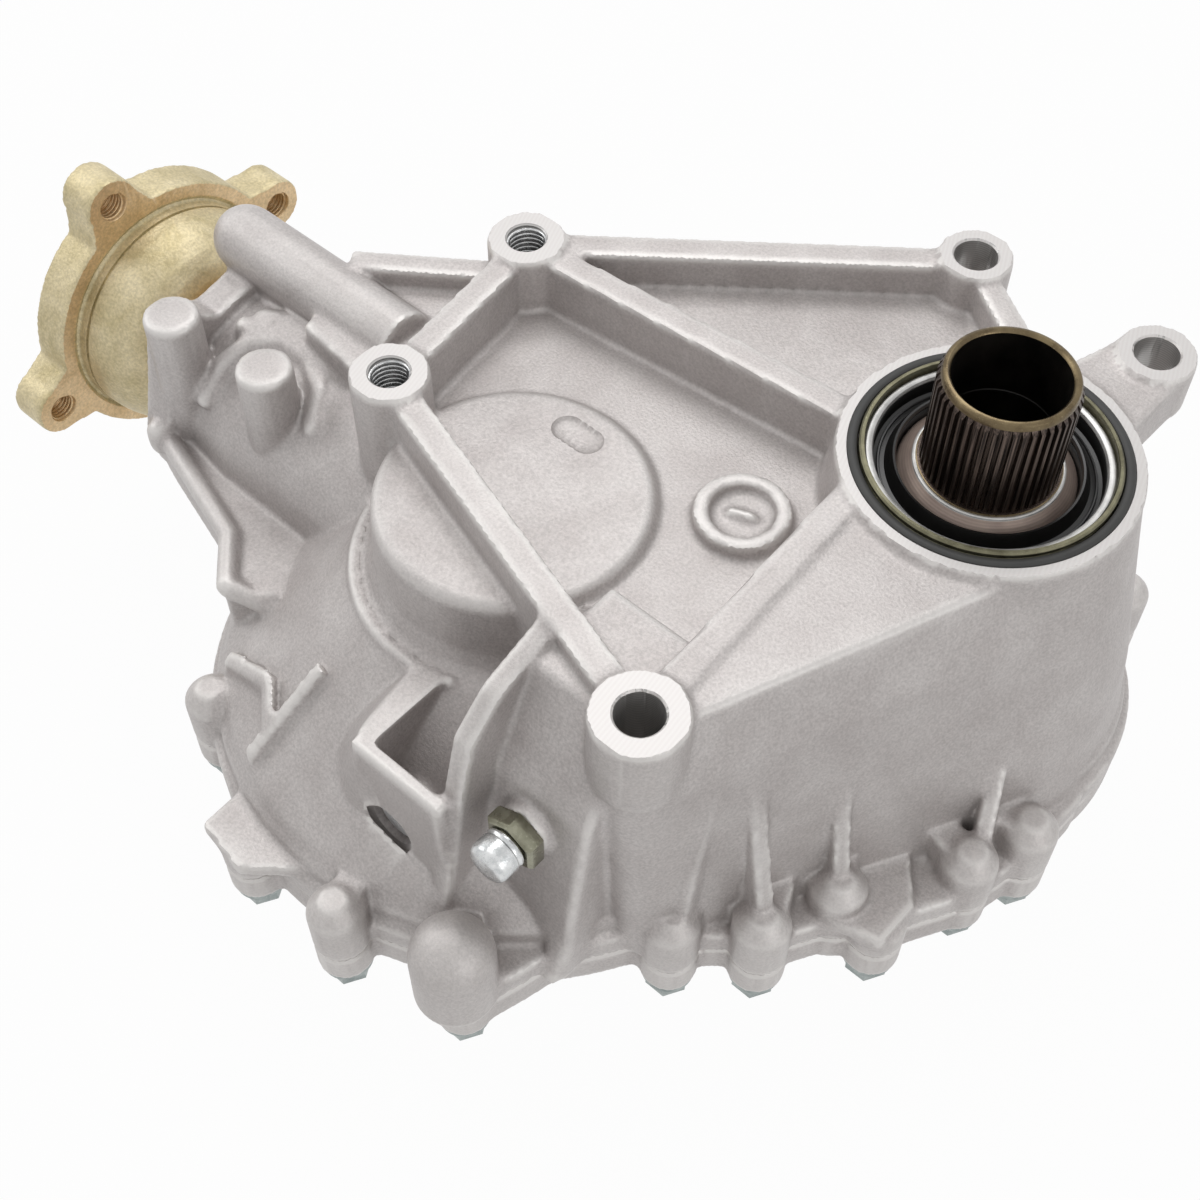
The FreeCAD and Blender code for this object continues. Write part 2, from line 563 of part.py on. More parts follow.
def rear_cover():
    """Dished cover that carries the lower bearings and closes the gear train from below."""
    flange = joint_outline(SEAM_Z - FLANGE_T, SEAM_Z)
    floor = DISH_FLOOR_Z - DISH_WALL
    dish = hull_prism((TRANSFER_X, TRANSFER_Y, DISH_T_R), (0, 0, DISH_O_R), floor, SEAM_Z - FLANGE_T)
    hubs = [turned([(0, floor), (TRANSFER_HUB_R + 4, floor), (TRANSFER_HUB_R, floor - 5),
                    (TRANSFER_HUB_R - 1, BASE_Z),
                    (0, BASE_Z)], TRANSFER_X, TRANSFER_Y),
            turned([(0, floor), (INPUT_HUB_R + 4, floor), (INPUT_HUB_R, floor - 5),
                    (INPUT_HUB_R - 1, BASE_Z),
                    (0, BASE_Z)])]
    ribs = [wall(polar(TRANSFER_X, TRANSFER_Y, TRANSFER_HUB_R - 6, a),
                 polar(TRANSFER_X, TRANSFER_Y, DISH_T_R - 6, a),
                 5, floor - 10, floor) for a in range(75, 345, 45)]
    ribs += [wall(polar(0, 0, INPUT_HUB_R - 6, a), polar(0, 0, DISH_O_R - 3, a), 5, floor - 10, floor)
             for a in (-75, -30, 15, 60, 105, 150)]
    body = fuse([flange, dish] + hubs + ribs)
    wide = hull_prism((TRANSFER_X, TRANSFER_Y, DOME_R - DOME_WALL), (0, 0, TOWER_FOOT_R - TOWER_WALL),
                      SEAM_Z - 6.5, SEAM_Z + 1)
    room = hull_prism((TRANSFER_X, TRANSFER_Y, DISH_T_R - DISH_WALL), (0, 0, DISH_O_R - DISH_WALL),
                      DISH_FLOOR_Z,
                      SEAM_Z + 1)
    low = INPUT_LOW_BEARING_Z
    cuts = [wide, room, rod(0, 0, low, DISH_FLOOR_Z + 1, INPUT_BEARING[1] + SEAT_GAP),
            rod(0, 0, BASE_Z - 1, low + 1, AXLE_SEAL_R - 3),
            rod(0, 0, BASE_Z - 1, BASE_Z + AXLE_SEAL_WIDTH, AXLE_SEAL_R + SEAT_GAP),
            rod(TRANSFER_X, TRANSFER_Y, TRANSFER_LOW_BEARING_Z, DISH_FLOOR_Z + 1,
                TRANSFER_BEARING[1] + SEAT_GAP),
            rod(TRANSFER_X, TRANSFER_Y, TRANSFER_LOW_BEARING_Z - 3, DISH_FLOOR_Z, TRANSFER_BEARING[1] - 6),
            rod(DRAIN[0], DRAIN[1], floor - 5, SEAM_Z, DRAIN_R + SEAT_GAP)]
    for x, y in joint_bolts():
        cuts.append(rod(x, y, SEAM_Z - FLANGE_T - 1, SEAM_Z + 1, BOLT_HOLE_R))
    for x, y in dowels():
        cuts.append(rod(x, y, SEAM_Z - DOWEL_LENGTH / 2 - 1, SEAM_Z + 1, DOWEL_R + SEAT_GAP))
    return body.cut(cuts)


def hexagon(x, y, z, across_corners, height):
    corners = [polar(x, y, across_corners / 2, 60 * k) for k in range(6)]
    return prism(corners, z, z + height)


def cover_bolts():
    face = SEAM_Z - FLANGE_T
    bolts = []
    for x, y in joint_bolts():
        washer = rod(x, y, face - BOLT_WASHER_T, face, BOLT_WASHER_R)
        head = hexagon(x, y, face - BOLT_HEAD_T, BOLT_HEAD_R * 2, BOLT_HEAD_T - 1)
        bolts.append(fuse([washer, head, rod(x, y, face - 1, SEAM_Z + BOLT_GRIP, BOLT_R)]))
    return Part.makeCompound(bolts)


def dowel_pins():
    half = DOWEL_LENGTH / 2
    return Part.makeCompound([rod(x, y, SEAM_Z - half, SEAM_Z + half, DOWEL_R) for x, y in dowels()])


def bearing(size, start, sense, place):
    """Cup, cone and roller set of a tapered roller bearing.

    The cup's back face lies at start and the bearing runs from there along sense (+1 or -1).
    place(profile) turns a list of (radius, station) pairs about the shaft axis.
    """
    bore, outer, width = size
    mean = (bore + outer) / 2
    roller = 0.2 * (outer - bore)
    slope = math.tan(math.radians(ROLLER_TILT_DEG))

    def centre(t):
        return mean + (t - width / 2) * slope

    def half(t):
        return roller * centre(t) / mean / math.cos(math.radians(ROLLER_TILT_DEG)) + ROLLER_GAP

    def station(t):
        return start + sense * t

    def ring(points):
        return place([(r, station(t)) for r, t in points])

    near, far = 0.16 * width, 0.80 * width
    cup_end, cone_start = 0.86 * width, 0.08 * width
    cup = ring([(outer, 0), (outer, cup_end), (centre(cup_end) + half(cup_end), cup_end),
                (centre(0) + half(0), 0)])
    lip = far + 0.4 + roller * slope
    cone = ring([(bore + SEAT_GAP, cone_start), (centre(cone_start) - half(cone_start), cone_start),
                 (centre(lip) - half(lip), lip), (centre(lip) - half(lip) + roller * 0.7, lip),
                 (centre(width) - half(width) + roller * 0.9, width), (bore + SEAT_GAP, width)])
    cage = ring([(centre(0) - 1.2, 0.02 * width), (centre(0) + 1.2, 0.02 * width),
                 (centre(near) + 1.4, near - 0.4), (centre(near) - 1.2, near - 0.4)])
    return cup, cone, cage, (near, far, centre, roller * 0.995, mean)


def rollers_about_z(size, start, sense, x, y):
    cup, cone, cage, (near, far, centre, roller, mean) = bearing(size, start, sense,
                                                                 lambda p: turned(p, x, y))
    solids = [cage]
    for k in range(ROLLERS):
        angle = 2 * math.pi * k / ROLLERS
        out = V(math.cos(angle), math.sin(angle), 0)
        a = V(x, y, start + sense * near) + out * centre(near)
        b = V(x, y, start + sense * far) + out * centre(far)
        solids.append(Part.makeCone(roller * centre(near) / mean, roller * centre(far) / mean,
                                    (b - a).Length, a, b - a))
    return cup, cone, Part.makeCompound(solids)


def rollers_about_x(size, start, sense):
    cup, cone, cage, (near, far, centre, roller, mean) = bearing(size, start, sense, turned_x)
    solids = [cage]
    for k in range(ROLLERS):
        angle = 2 * math.pi * k / ROLLERS
        out = V(0, math.cos(angle), math.sin(angle))
        a = V(start + sense * near, PINION_Y, PINION_Z) + out * centre(near)
        b = V(start + sense * far, PINION_Y, PINION_Z) + out * centre(far)
        solids.append(Part.makeCone(roller * centre(near) / mean, roller * centre(far) / mean,
                                    (b - a).Length, a, b - a))
    return cup, cone, Part.makeCompound(solids)


def splined(radius, root, teeth, low, high):
    """Rod with straight-sided splines on its outside."""
    points = []
    for k in range(teeth):
        for r, shift in ((root, -0.42), (radius, -0.2), (radius, 0.2), (root, 0.42)):
            points.append(polar(0, 0, r, 360 * (k + shift) / teeth))
    return prism(points, low, high)


def input_shaft():
    spline = splined(SPLINE_R, SPLINE_ROOT_R, SPLINE_TEETH, SPLINE_FOOT_Z, SHAFT_TOP_Z - 2)
    bearing_r, low_back = INPUT_BEARING[0], INPUT_LOW_BEARING_Z + INPUT_BEARING[2]
    top_back = INPUT_TOP_BEARING_Z - INPUT_BEARING[2]
    body = turned([(0, SHAFT_TOP_Z), (SPLINE_ROOT_R - 0.8, SHAFT_TOP_Z), (SPLINE_ROOT_R, SHAFT_TOP_Z - 1),
                   (SPLINE_ROOT_R, SPLINE_FOOT_Z), (SPLINE_R + 1, SPLINE_FOOT_Z),
                   (SPLINE_R + 1, SLEEVE_TOP_Z),
                   (SLEEVE_BORE_R, SLEEVE_TOP_Z), (SLEEVE_BORE_R, sleeve_bottom()),
                   (bearing_r, sleeve_bottom()),
                   (bearing_r, top_back), (SHAFT_BODY_R, top_back), (SHAFT_BODY_R, GEAR_TOP_Z),
                   (GEAR_SEAT_R, GEAR_TOP_Z), (GEAR_SEAT_R, low_back), (bearing_r, low_back),
                   (bearing_r, INPUT_LOW_BEARING_Z + 1), (bearing_r - 3, INPUT_LOW_BEARING_Z + 1),
                   (bearing_r - 3, SHAFT_BOTTOM_Z), (0, SHAFT_BOTTOM_Z)])
    return body.fuse(spline).cut(rod(0, 0, SHAFT_BOTTOM_Z - 1, SHAFT_TOP_Z + 1, SHAFT_BORE_R))


def sleeve_bottom():
    return INPUT_TOP_BEARING_Z - 0.08 * INPUT_BEARING[2]


def seal_sleeve():
    return turned([(SLEEVE_BORE_R + SEAT_GAP, SLEEVE_TOP_Z), (SLEEVE_BORE_R + 1, SLEEVE_TOP_Z),
                   (SLEEVE_R - 0.6, SLEEVE_TOP_Z - 4), (SLEEVE_R, SLEEVE_TOP_Z - 5.5),
                   (SLEEVE_R, sleeve_bottom()),
                   (SLEEVE_BORE_R + SEAT_GAP, sleeve_bottom())])


def gear_outline(teeth, pitch_r, z, turn_deg):
    """Closed outline of an involute gear with narrowed teeth for backlash."""
    base_r = pitch_r * math.cos(math.radians(PRESSURE_DEG))

    def half_angle(r):
        if r <= base_r:
            r = base_r
        pressure = math.acos(base_r / r)
        at_pitch = math.radians(PRESSURE_DEG)
        spread = (math.tan(at_pitch) - at_pitch) - (math.tan(pressure) - pressure)
        return math.pi / (2 * teeth) + spread - GEAR_BACKLASH / 2 / pitch_r

    root, tip = pitch_r - GEAR_DEDENDUM, pitch_r + GEAR_ADDENDUM
    points = []
    for k in range(teeth):
        middle = math.radians(turn_deg) + 2 * math.pi * k / teeth
        for r, side in ((root, -1), (pitch_r, -1), (tip, -1), (tip, 1), (pitch_r, 1), (root, 1)):
            angle = middle + side * half_angle(r)
            points.append(V(r * math.cos(angle), r * math.sin(angle), z))
    return Part.makePolygon(points + [points[0]])


def helical_rim(teeth, pitch_r, phase_deg, hand, low, high):
    twist = math.degrees(math.tan(math.radians(HELIX_DEG)) * (high - low) / pitch_r) * hand
    wires = [gear_outline(teeth, pitch_r, low, phase_deg - twist / 2),
             gear_outline(teeth, pitch_r, high, phase_deg + twist / 2)]
    return Part.makeLoft(wires, True, True)


def gear_pitch_radii():
    distance = math.hypot(TRANSFER_X, TRANSFER_Y)
    share = INPUT_TEETH / (INPUT_TEETH + TRANSFER_TEETH)
    return distance * share, distance * (1 - share)


def centre_line_deg():
    return math.degrees(math.atan2(TRANSFER_Y, TRANSFER_X))


def input_gear():
    pitch_r, _ = gear_pitch_radii()
    low, high = GEAR_TOP_Z - GEAR_WIDTH, GEAR_TOP_Z
    low_back = INPUT_LOW_BEARING_Z + INPUT_BEARING[2]
    rim = helical_rim(INPUT_TEETH, pitch_r, centre_line_deg(), 1, low, high)
    hub = rod(0, 0, low_back, low + 1, GEAR_SEAT_R + 7)
    return rim.fuse(hub).cut(rod(0, 0, low_back - 1, high + 1, GEAR_SEAT_R + SEAT_GAP))


def transfer_gear():
    _, pitch_r = gear_pitch_radii()
    low, high = GEAR_TOP_Z - GEAR_WIDTH, GEAR_TOP_Z
    low_back = TRANSFER_LOW_BEARING_Z + TRANSFER_BEARING[2]
    phase = centre_line_deg() + 180 + 180 / TRANSFER_TEETH
    rim = helical_rim(TRANSFER_TEETH, pitch_r, phase, -1, low, high)
    waist = (high + low) / 2
    rim_in, hub_r = pitch_r - GEAR_DEDENDUM - 8, TRANSFER_SEAT_R + 10
    hollows = [turned([(hub_r, waist + 4), (rim_in, waist + 4), (rim_in, high + 1), (hub_r, high + 1)]),
               turned([(hub_r, waist - 4), (rim_in, waist - 4), (rim_in, low - 1), (hub_r, low - 1)])]
    hub = rod(0, 0, low_back, RING_SEAT_Z - RING_FLANGE_T, hub_r)
    gear = rim.cut(hollows).fuse(hub).cut(rod(0, 0, low_back - 1, high + 9, TRANSFER_SEAT_R + SEAT_GAP))
    gear.translate(V(TRANSFER_X, TRANSFER_Y, 0))
    return gear


def transfer_shaft():
    seat, width = TRANSFER_BEARING[0], TRANSFER_BEARING[2]
    top_back, low_back = TRANSFER_TOP_BEARING_Z - width, TRANSFER_LOW_BEARING_Z + width
    under = RING_SEAT_Z - RING_FLANGE_T
    shaft = turned([(0, TRANSFER_TOP_BEARING_Z - 1), (seat - 1, TRANSFER_TOP_BEARING_Z - 1),
                    (seat, TRANSFER_TOP_BEARING_Z - 2), (seat, top_back), (seat + 4.5, top_back),
                    (seat + 4.5, RING_SEAT_Z + 14), (TRANSFER_SEAT_R, RING_SEAT_Z + 10),
                    (TRANSFER_SEAT_R, RING_SEAT_Z),
                    (RING_FLANGE_R, RING_SEAT_Z), (RING_FLANGE_R, under), (TRANSFER_SEAT_R, under),
                    (TRANSFER_SEAT_R, low_back), (seat, low_back), (seat, TRANSFER_LOW_BEARING_Z + 2),
                    (seat - 1, TRANSFER_LOW_BEARING_Z + 1), (0, TRANSFER_LOW_BEARING_Z + 1)], TRANSFER_X,
                    TRANSFER_Y)
    return shaft.cut([rod(x, y, under - 1, RING_SEAT_Z + 1, BOLT_R + SEAT_GAP) for x,
                      y in ring_bolt_places()])


def ring_bolt_places():
    return [polar(TRANSFER_X, TRANSFER_Y, RING_BOLT_CIRCLE_R,
                  360 * k / RING_BOLTS) for k in range(RING_BOLTS)]


def bevel_slope():
    return PINION_TEETH / RING_TEETH


def ring_gear():
    """Crown of straight, offset teeth on a bolted ring; every tooth tapers to its own apex."""
    offset = PINION_Y - TRANSFER_Y
    module = 2 / RING_TEETH
    root_slope = bevel_slope() + RING_DEDENDUM * module
    near_r, far_r = math.hypot(TOOTH_NEAR, offset), math.hypot(TOOTH_FAR, offset)
    near_z, far_z = PINION_Z - TOOTH_NEAR * root_slope, PINION_Z - TOOTH_FAR * root_slope
    web_top = RING_SEAT_Z + RING_WEB_T
    blank = turned([(TRANSFER_SEAT_R + SEAT_GAP, RING_SEAT_Z), (TRANSFER_SEAT_R + SEAT_GAP, web_top),
                    (near_r - 8, web_top), (near_r - 2, near_z), (near_r, near_z), (far_r, far_z),
                    (far_r, RING_BODY_BOTTOM_Z), (RING_FLANGE_R + 1, RING_BODY_BOTTOM_Z),
                    (RING_FLANGE_R + 1, RING_SEAT_Z)], TRANSFER_X, TRANSFER_Y)
    tooth = Part.makeLoft([ring_tooth_section(TOOTH_NEAR + 0.1), ring_tooth_section(TOOTH_FAR - 0.1)],
                          True, True)
    teeth = []
    for k in range(RING_TEETH):
        copy = tooth.copy()
        copy.rotate(V(TRANSFER_X, TRANSFER_Y, 0), V(0, 0, 1), 360 * k / RING_TEETH)
        teeth.append(copy)
    holes = [rod(x, y, RING_SEAT_Z - 1, web_top + 1, BOLT_R + SEAT_GAP) for x, y in ring_bolt_places()]
    return blank.fuse(teeth).cut(holes)


def ring_tooth_section(s):
    module = 2 * s / RING_TEETH
    pitch_z = PINION_Z - s * bevel_slope()
    lean = math.tan(math.radians(BEVEL_PRESSURE_DEG))
    half = math.pi * module / 4 - BEVEL_BACKLASH / 2 * s / TOOTH_FAR
    up, down = RING_ADDENDUM * module, (RING_DEDENDUM + 0.12) * module
    outline = [(-half - down * lean, -down), (half + down * lean, -down), (half - up * lean, up),
               (-half + up * lean, up)]
    points = [V(TRANSFER_X - s, PINION_Y + y, pitch_z + z) for y, z in outline]
    return Part.makePolygon(points + [points[0]])


def pinion_section(s):
    """Outline of the pinion teeth at a distance s from the common apex."""
    module = 2 * s / RING_TEETH
    pitch_r = s * bevel_slope()
    base_r = pitch_r * math.cos(math.radians(BEVEL_PRESSURE_DEG))
    at_pitch = math.radians(BEVEL_PRESSURE_DEG)

    def half_angle(r):
        pressure = math.acos(min(1.0, base_r / r))
        spread = (math.tan(at_pitch) - at_pitch) - (math.tan(pressure) - pressure)
        return math.pi / (2 * PINION_TEETH) + spread - BEVEL_BACKLASH / 2 * s / TOOTH_FAR / pitch_r

    root, tip = pitch_r - PINION_DEDENDUM * module, pitch_r + PINION_ADDENDUM * module
    points = []
    for k in range(PINION_TEETH):
        middle = 2 * math.pi * (k + 0.5) / PINION_TEETH - math.pi / 2
        for r, side in ((root, -1), (pitch_r, -1), (tip, -1), (tip, 1), (pitch_r, 1), (root, 1)):
            angle = middle + side * half_angle(r)
            points.append(V(TRANSFER_X - s, PINION_Y + r * math.cos(angle), PINION_Z + r * math.sin(angle)))
    return Part.makePolygon(points + [points[0]])


def pinion():
    head = Part.makeLoft([pinion_section(TOOTH_NEAR), pinion_section(TOOTH_FAR)], True, True)
    back_x = TRANSFER_X - TOOTH_FAR
    head_seat, tail_seat = PINION_HEAD_BEARING[0], PINION_TAIL_BEARING[0]
    shim_x = head_cone_back() + SHIM_T
    shaft = turned_x([(0, back_x + 6), (head_seat + 5, back_x + 6), (head_seat + 5, shim_x),
                      (head_seat, shim_x),
                      (head_seat, HEAD_BEARING_X - 1), (tail_seat, HEAD_BEARING_X - 2),
                      (tail_seat, tail_cone_back() + 0.5), (HUB_SPLINE_R, tail_cone_back() + 0.5),
                      (HUB_SPLINE_R, nut_face() + 1), (NUT_THREAD_R, nut_face()),
                      (NUT_THREAD_R, nut_face() - NUT_T),
                      (NUT_THREAD_R - 0.5, nut_face() - NUT_T - 0.5), (0, nut_face() - NUT_T - 0.5)])
    return head.fuse(shaft)


def head_cone_back():
    return HEAD_BEARING_X + PINION_HEAD_BEARING[2]


def tail_cone_back():
    return TAIL_BEARING_X - PINION_TAIL_BEARING[2]


def nut_face():
    return FLANGE_FRONT_X + FLANGE_RECESS_DEPTH - WASHER_T


def output_flange():
    """Four-lobed companion flange with a bell-shaped back and a hub that runs in the pinion seal."""
    hub_x = tail_cone_back()
    bell = [(FLANGE_HUB_R, hub_x), (FLANGE_HUB_R, MOUTH_X - 8), (FLANGE_HUB_R + 2, MOUTH_X - 14)]
    steps = 6
    span_x, span_r = FLANGE_REAR_X + 3 - (MOUTH_X - 14), BELL_R - (FLANGE_HUB_R + 2)
    for k in range(1, steps + 1):
        turn = math.pi / 2 * k / steps
        bell.append((FLANGE_HUB_R + 2 + span_r * math.sin(turn),
                     MOUTH_X - 14 + span_x * (1 - math.cos(turn))))
    profile = bell + [(BELL_R, FLANGE_REAR_X - 1), (BELL_R + 2.2, FLANGE_REAR_X - 1),
                      (BELL_R + 2.2, FLANGE_REAR_X),
                      (FLANGE_RIM_R, FLANGE_REAR_X), (FLANGE_RIM_R, FLANGE_FRONT_X),
                      (FLANGE_PILOT_R, FLANGE_FRONT_X),
                      (FLANGE_PILOT_R, FLANGE_FRONT_X + FLANGE_PILOT_DEPTH),
                      (NUT_ROOM_R, FLANGE_FRONT_X + FLANGE_PILOT_DEPTH),
                      (NUT_ROOM_R, FLANGE_FRONT_X + FLANGE_RECESS_DEPTH),
                      (HUB_SPLINE_R + SEAT_GAP, FLANGE_FRONT_X + FLANGE_RECESS_DEPTH),
                      (HUB_SPLINE_R + SEAT_GAP, hub_x)]
    solid = turned_x(profile)
    lobes, holes = [], []
    for k in range(4):
        angle = math.radians(FLANGE_PHASE_DEG + 90 * k)
        y = PINION_Y + FLANGE_BOLT_R * math.cos(angle)
        z = PINION_Z + FLANGE_BOLT_R * math.sin(angle)
        lobe = Part.Face(lobe_wire(math.degrees(angle))).extrude(V(FLANGE_FRONT_X - FLANGE_REAR_X, 0, 0))
        lobes.append(lobe)
        holes.append(rod_x(z=z, y=y, low=FLANGE_FRONT_X - 1, high=FLANGE_REAR_X + 1,
                           radius=FLANGE_THREAD_R))
    inner = rod_x(PINION_Y, PINION_Z, FLANGE_FRONT_X - 1, FLANGE_REAR_X + 1, FLANGE_RIM_R - 3)
    lobes = [lobe.cut(inner) for lobe in lobes]
    return solid.fuse(lobes).cut(holes)


def lobe_wire(angle_deg):
    """Outline of a lobe: a round end on the bolt circle with sides that spread towards the rim."""
    def at(r, side):
        a = math.radians(angle_deg)
        y = PINION_Y + r * math.cos(a) - side * math.sin(a)
        z = PINION_Z + r * math.sin(a) + side * math.cos(a)
        return V(FLANGE_REAR_X, y, z)

    end, foot = FLANGE_LOBE_R, FLANGE_LOBE_R + 5
    arc = Part.Arc(at(FLANGE_BOLT_R, -end), at(FLANGE_BOLT_R + end, 0), at(FLANGE_BOLT_R, end)).toShape()
    edges = [arc, Part.LineSegment(at(FLANGE_BOLT_R, end), at(FLANGE_RIM_R - 6, foot)).toShape(),
             Part.LineSegment(at(FLANGE_RIM_R - 6, foot), at(FLANGE_RIM_R - 6, -foot)).toShape(),
             Part.LineSegment(at(FLANGE_RIM_R - 6, -foot), at(FLANGE_BOLT_R, -end)).toShape()]
    return Part.Wire(edges)


def seal_pair(bore_r, lip_r, start, sense, width, place):
    """Steel shell and rubber lip of a shaft seal; start is its outer face."""
    wall_t = 2.0
    shell_in = bore_r - wall_t
    outer = bore_r - SEAT_GAP
    flat = 1.0

    def ring(points):
        return place([(r, start + sense * t) for r, t in points])

    shell = ring([(shell_in, 0), (outer - 0.5, 0), (outer, 0.5), (outer, width), (shell_in - 3, width),
                  (shell_in - 3, width - flat), (shell_in, width - flat)])
    lip = ring([(shell_in, width - flat), (shell_in - 3, width - flat), (shell_in - 3, width),
                (lip_r + 2.5, width), (lip_r + 0.06, width * 0.55), (lip_r + 1.5, width * 0.42),
                (lip_r + 0.3, width * 0.2), (lip_r + 0.8, width * 0.12), (lip_r + 2.2, width * 0.3),
                (shell_in - 1, width * 0.42), (shell_in - 1, width * 0.1), (shell_in, width * 0.1)])
    return shell, lip


def face_seal():
    top, bottom = FACE_SEAL_PROUD, -FACE_SEAL_DEPTH
    low_r, high_r = FACE_SEAL_INNER_R, FACE_SEAL_R - SEAT_GAP
    return turned([(low_r, bottom), (high_r, bottom), (high_r, -0.3), (high_r - 0.5, top - 0.3),
                   (high_r - 1.2, top), (low_r + 1.2, top), (low_r + 0.5, top - 0.3), (low_r, -0.3)])


def pilot_ring():
    return turned([(PILOT_BORE_R, PILOT_TOP_Z), (PILOT_R - 0.5, PILOT_TOP_Z), (PILOT_R, PILOT_TOP_Z - 0.5),
                   (PILOT_R, PILOT_BOTTOM_Z), (PILOT_BORE_R - 3, PILOT_BOTTOM_Z),
                   (PILOT_BORE_R - 3, PILOT_BOTTOM_Z + 1.5), (PILOT_BORE_R, PILOT_BOTTOM_Z + 1.5)])


def ring_gear_bolts():
    top = RING_SEAT_Z + RING_WEB_T
    bottom = RING_SEAT_Z - RING_FLANGE_T
    return Part.makeCompound([fuse([hexagon(x, y, top, BOLT_HEAD_R * 2, 5.5),
                                    rod(x, y, bottom, top + 1, BOLT_R)])
                              for x, y in ring_bolt_places()])


def hexagon_x(low, high, across_corners):
    points = []
    for k in range(6):
        a = math.pi / 3 * k
        points.append(V(low, PINION_Y + across_corners / 2 * math.cos(a),
                        PINION_Z + across_corners / 2 * math.sin(a)))
    return Part.Face(Part.makePolygon(points + [points[0]])).extrude(V(high - low, 0, 0))


def pinion_nut():
    face = nut_face()
    nut = hexagon_x(face - NUT_T, face - 2, NUT_HEX)
    collar = rod_x(PINION_Y, PINION_Z, face - 3, face, NUT_HEX / 2 + 0.5)
    return nut.fuse(collar).cut(rod_x(PINION_Y, PINION_Z, face - NUT_T - 1, face + 1,
                                      NUT_THREAD_R + SEAT_GAP))


def pinion_washer():
    bore, face = HUB_SPLINE_R + SEAT_GAP, nut_face()
    return turned_x([(bore, face), (NUT_ROOM_R - 1, face), (NUT_ROOM_R - 1, face + WASHER_T),
                     (bore, face + WASHER_T)])


def pinion_spacer():
    head_end = HEAD_BEARING_X + 0.08 * PINION_HEAD_BEARING[2]
    tail_end = TAIL_BEARING_X - 0.08 * PINION_TAIL_BEARING[2]
    tail_r, head_r = PINION_TAIL_BEARING[0] + 0.1, PINION_HEAD_BEARING[0] + 0.3
    step = HEAD_BEARING_X - 3
    return turned_x([(tail_r, tail_end), (tail_r + 2, tail_end), (tail_r + 2, step - 1),
                     (head_r + 2, step + 1),
                     (head_r + 2, head_end), (head_r, head_end), (head_r, step), (tail_r, step - 1.5)])


def pinion_shim():
    bore, face = PINION_HEAD_BEARING[0] + SEAT_GAP, head_cone_back()
    return turned_x([(bore, face), (bore + 4.4, face), (bore + 4.4, face + SHIM_T), (bore, face + SHIM_T)])


def dust_deflector():
    bore = FLANGE_HUB_R + SEAT_GAP
    face = MOUTH_X - 5
    return turned_x([(bore, face), (DEFLECTOR_R, face), (DEFLECTOR_R + 1.2, face + 1),
                     (DEFLECTOR_R + 1.2, face + 3.5),
                     (DEFLECTOR_R, face + 3.5), (DEFLECTOR_R, face + 1.4), (bore + 1.5, face + 1.4),
                     (bore + 1.5, face + 3), (bore, face + 3)])


def hexagon_y(x, z, low, high, across_corners):
    points = []
    for k in range(6):
        a = math.pi / 3 * k + math.pi / 6
        points.append(V(x + across_corners / 2 * math.cos(a), low, z + across_corners / 2 * math.sin(a)))
    return Part.Face(Part.makePolygon(points + [points[0]])).extrude(V(0, high - low, 0))


def filler_plug():
    face = FILLER_Y + FILLER_RECESS
    plug = rod_y(FILLER_X, FILLER_Z, face, face + FILLER_PLUG_T, FILLER_R)
    return plug.cut(hexagon_y(FILLER_X, FILLER_Z, face - 1, face + 6, FILLER_R))


def drain_plug():
    floor = DISH_FLOOR_Z - DISH_WALL
    head_top = floor - DRAIN_WASHER_T
    x, y = DRAIN
    head = hexagon(x, y, head_top - 6, DRAIN_R * 2 + 6, 5)
    collar = rod(x, y, head_top - 1.5, head_top, DRAIN_R + 3.6)
    return fuse([collar, head, rod(x, y, head_top - 1, DISH_FLOOR_Z + 2, DRAIN_R)])


def drain_washer():
    floor = DISH_FLOOR_Z - DISH_WALL
    x, y = DRAIN
    return rod(x, y, floor - DRAIN_WASHER_T, floor, DRAIN_R + 3.2).cut(
        rod(x, y, floor - DRAIN_WASHER_T - 1, floor + 1, DRAIN_R + SEAT_GAP))


def turned_y(profile, x, z):
    """Solid of revolution about an axis along Y; the profile is (radius, y) pairs."""
    points = [V(x + r, along, z) for r, along in profile]
    face = Part.Face(Part.makePolygon(points + [points[0]]))
    return face.revolve(V(x, 0, z), V(0, 1, 0), 360)


def vent_body():
    """Hex based breather stem with a barbed neck that keeps the loose cap."""
    front = VENT_Y - VENT_HEX_T
    hexed = hexagon_y(VENT_X, VENT_Z, front, VENT_Y, VENT_HEX)
    stem = rod_y(VENT_X, VENT_Z, VENT_Y - 1, VENT_Y + 16, VENT_STEM_R)
    neck = turned_y([(0, front + 1), (VENT_STEM_R, front + 1), (VENT_STEM_R, front - 3),
                     (VENT_STEM_R + 0.9, front - 3.2),
                     (VENT_STEM_R + 0.9, front - 4), (VENT_STEM_R - 0.6, front - 5.2), (0, front - 5.2)],
                     VENT_X, VENT_Z)
    bore = rod_y(VENT_X, VENT_Z, front - 6, VENT_Y + 17, 1.5)
    return fuse([hexed, stem, neck]).cut(bore)


def vent_cap():
    front = VENT_Y - VENT_HEX_T
    skirt = front - RUN_GAP
    end = skirt - VENT_CAP_T
    room = VENT_STEM_R + 0.9 + RUN_GAP
    return turned_y([(VENT_STEM_R + RUN_GAP, skirt), (VENT_CAP_R - 0.4, skirt), (VENT_CAP_R, skirt - 0.6),
                     (VENT_CAP_R, end + 2.2), (VENT_CAP_R - 0.8, end + 0.7), (VENT_CAP_R - 2.2, end),
                     (0, end),
                     (0, end + 1.4), (room, end + 1.4), (room, front - 3.2 + VENT_LIFT + RUN_GAP),
                     (VENT_STEM_R + RUN_GAP, front - 3.2 + VENT_LIFT + RUN_GAP)], VENT_X, VENT_Z)


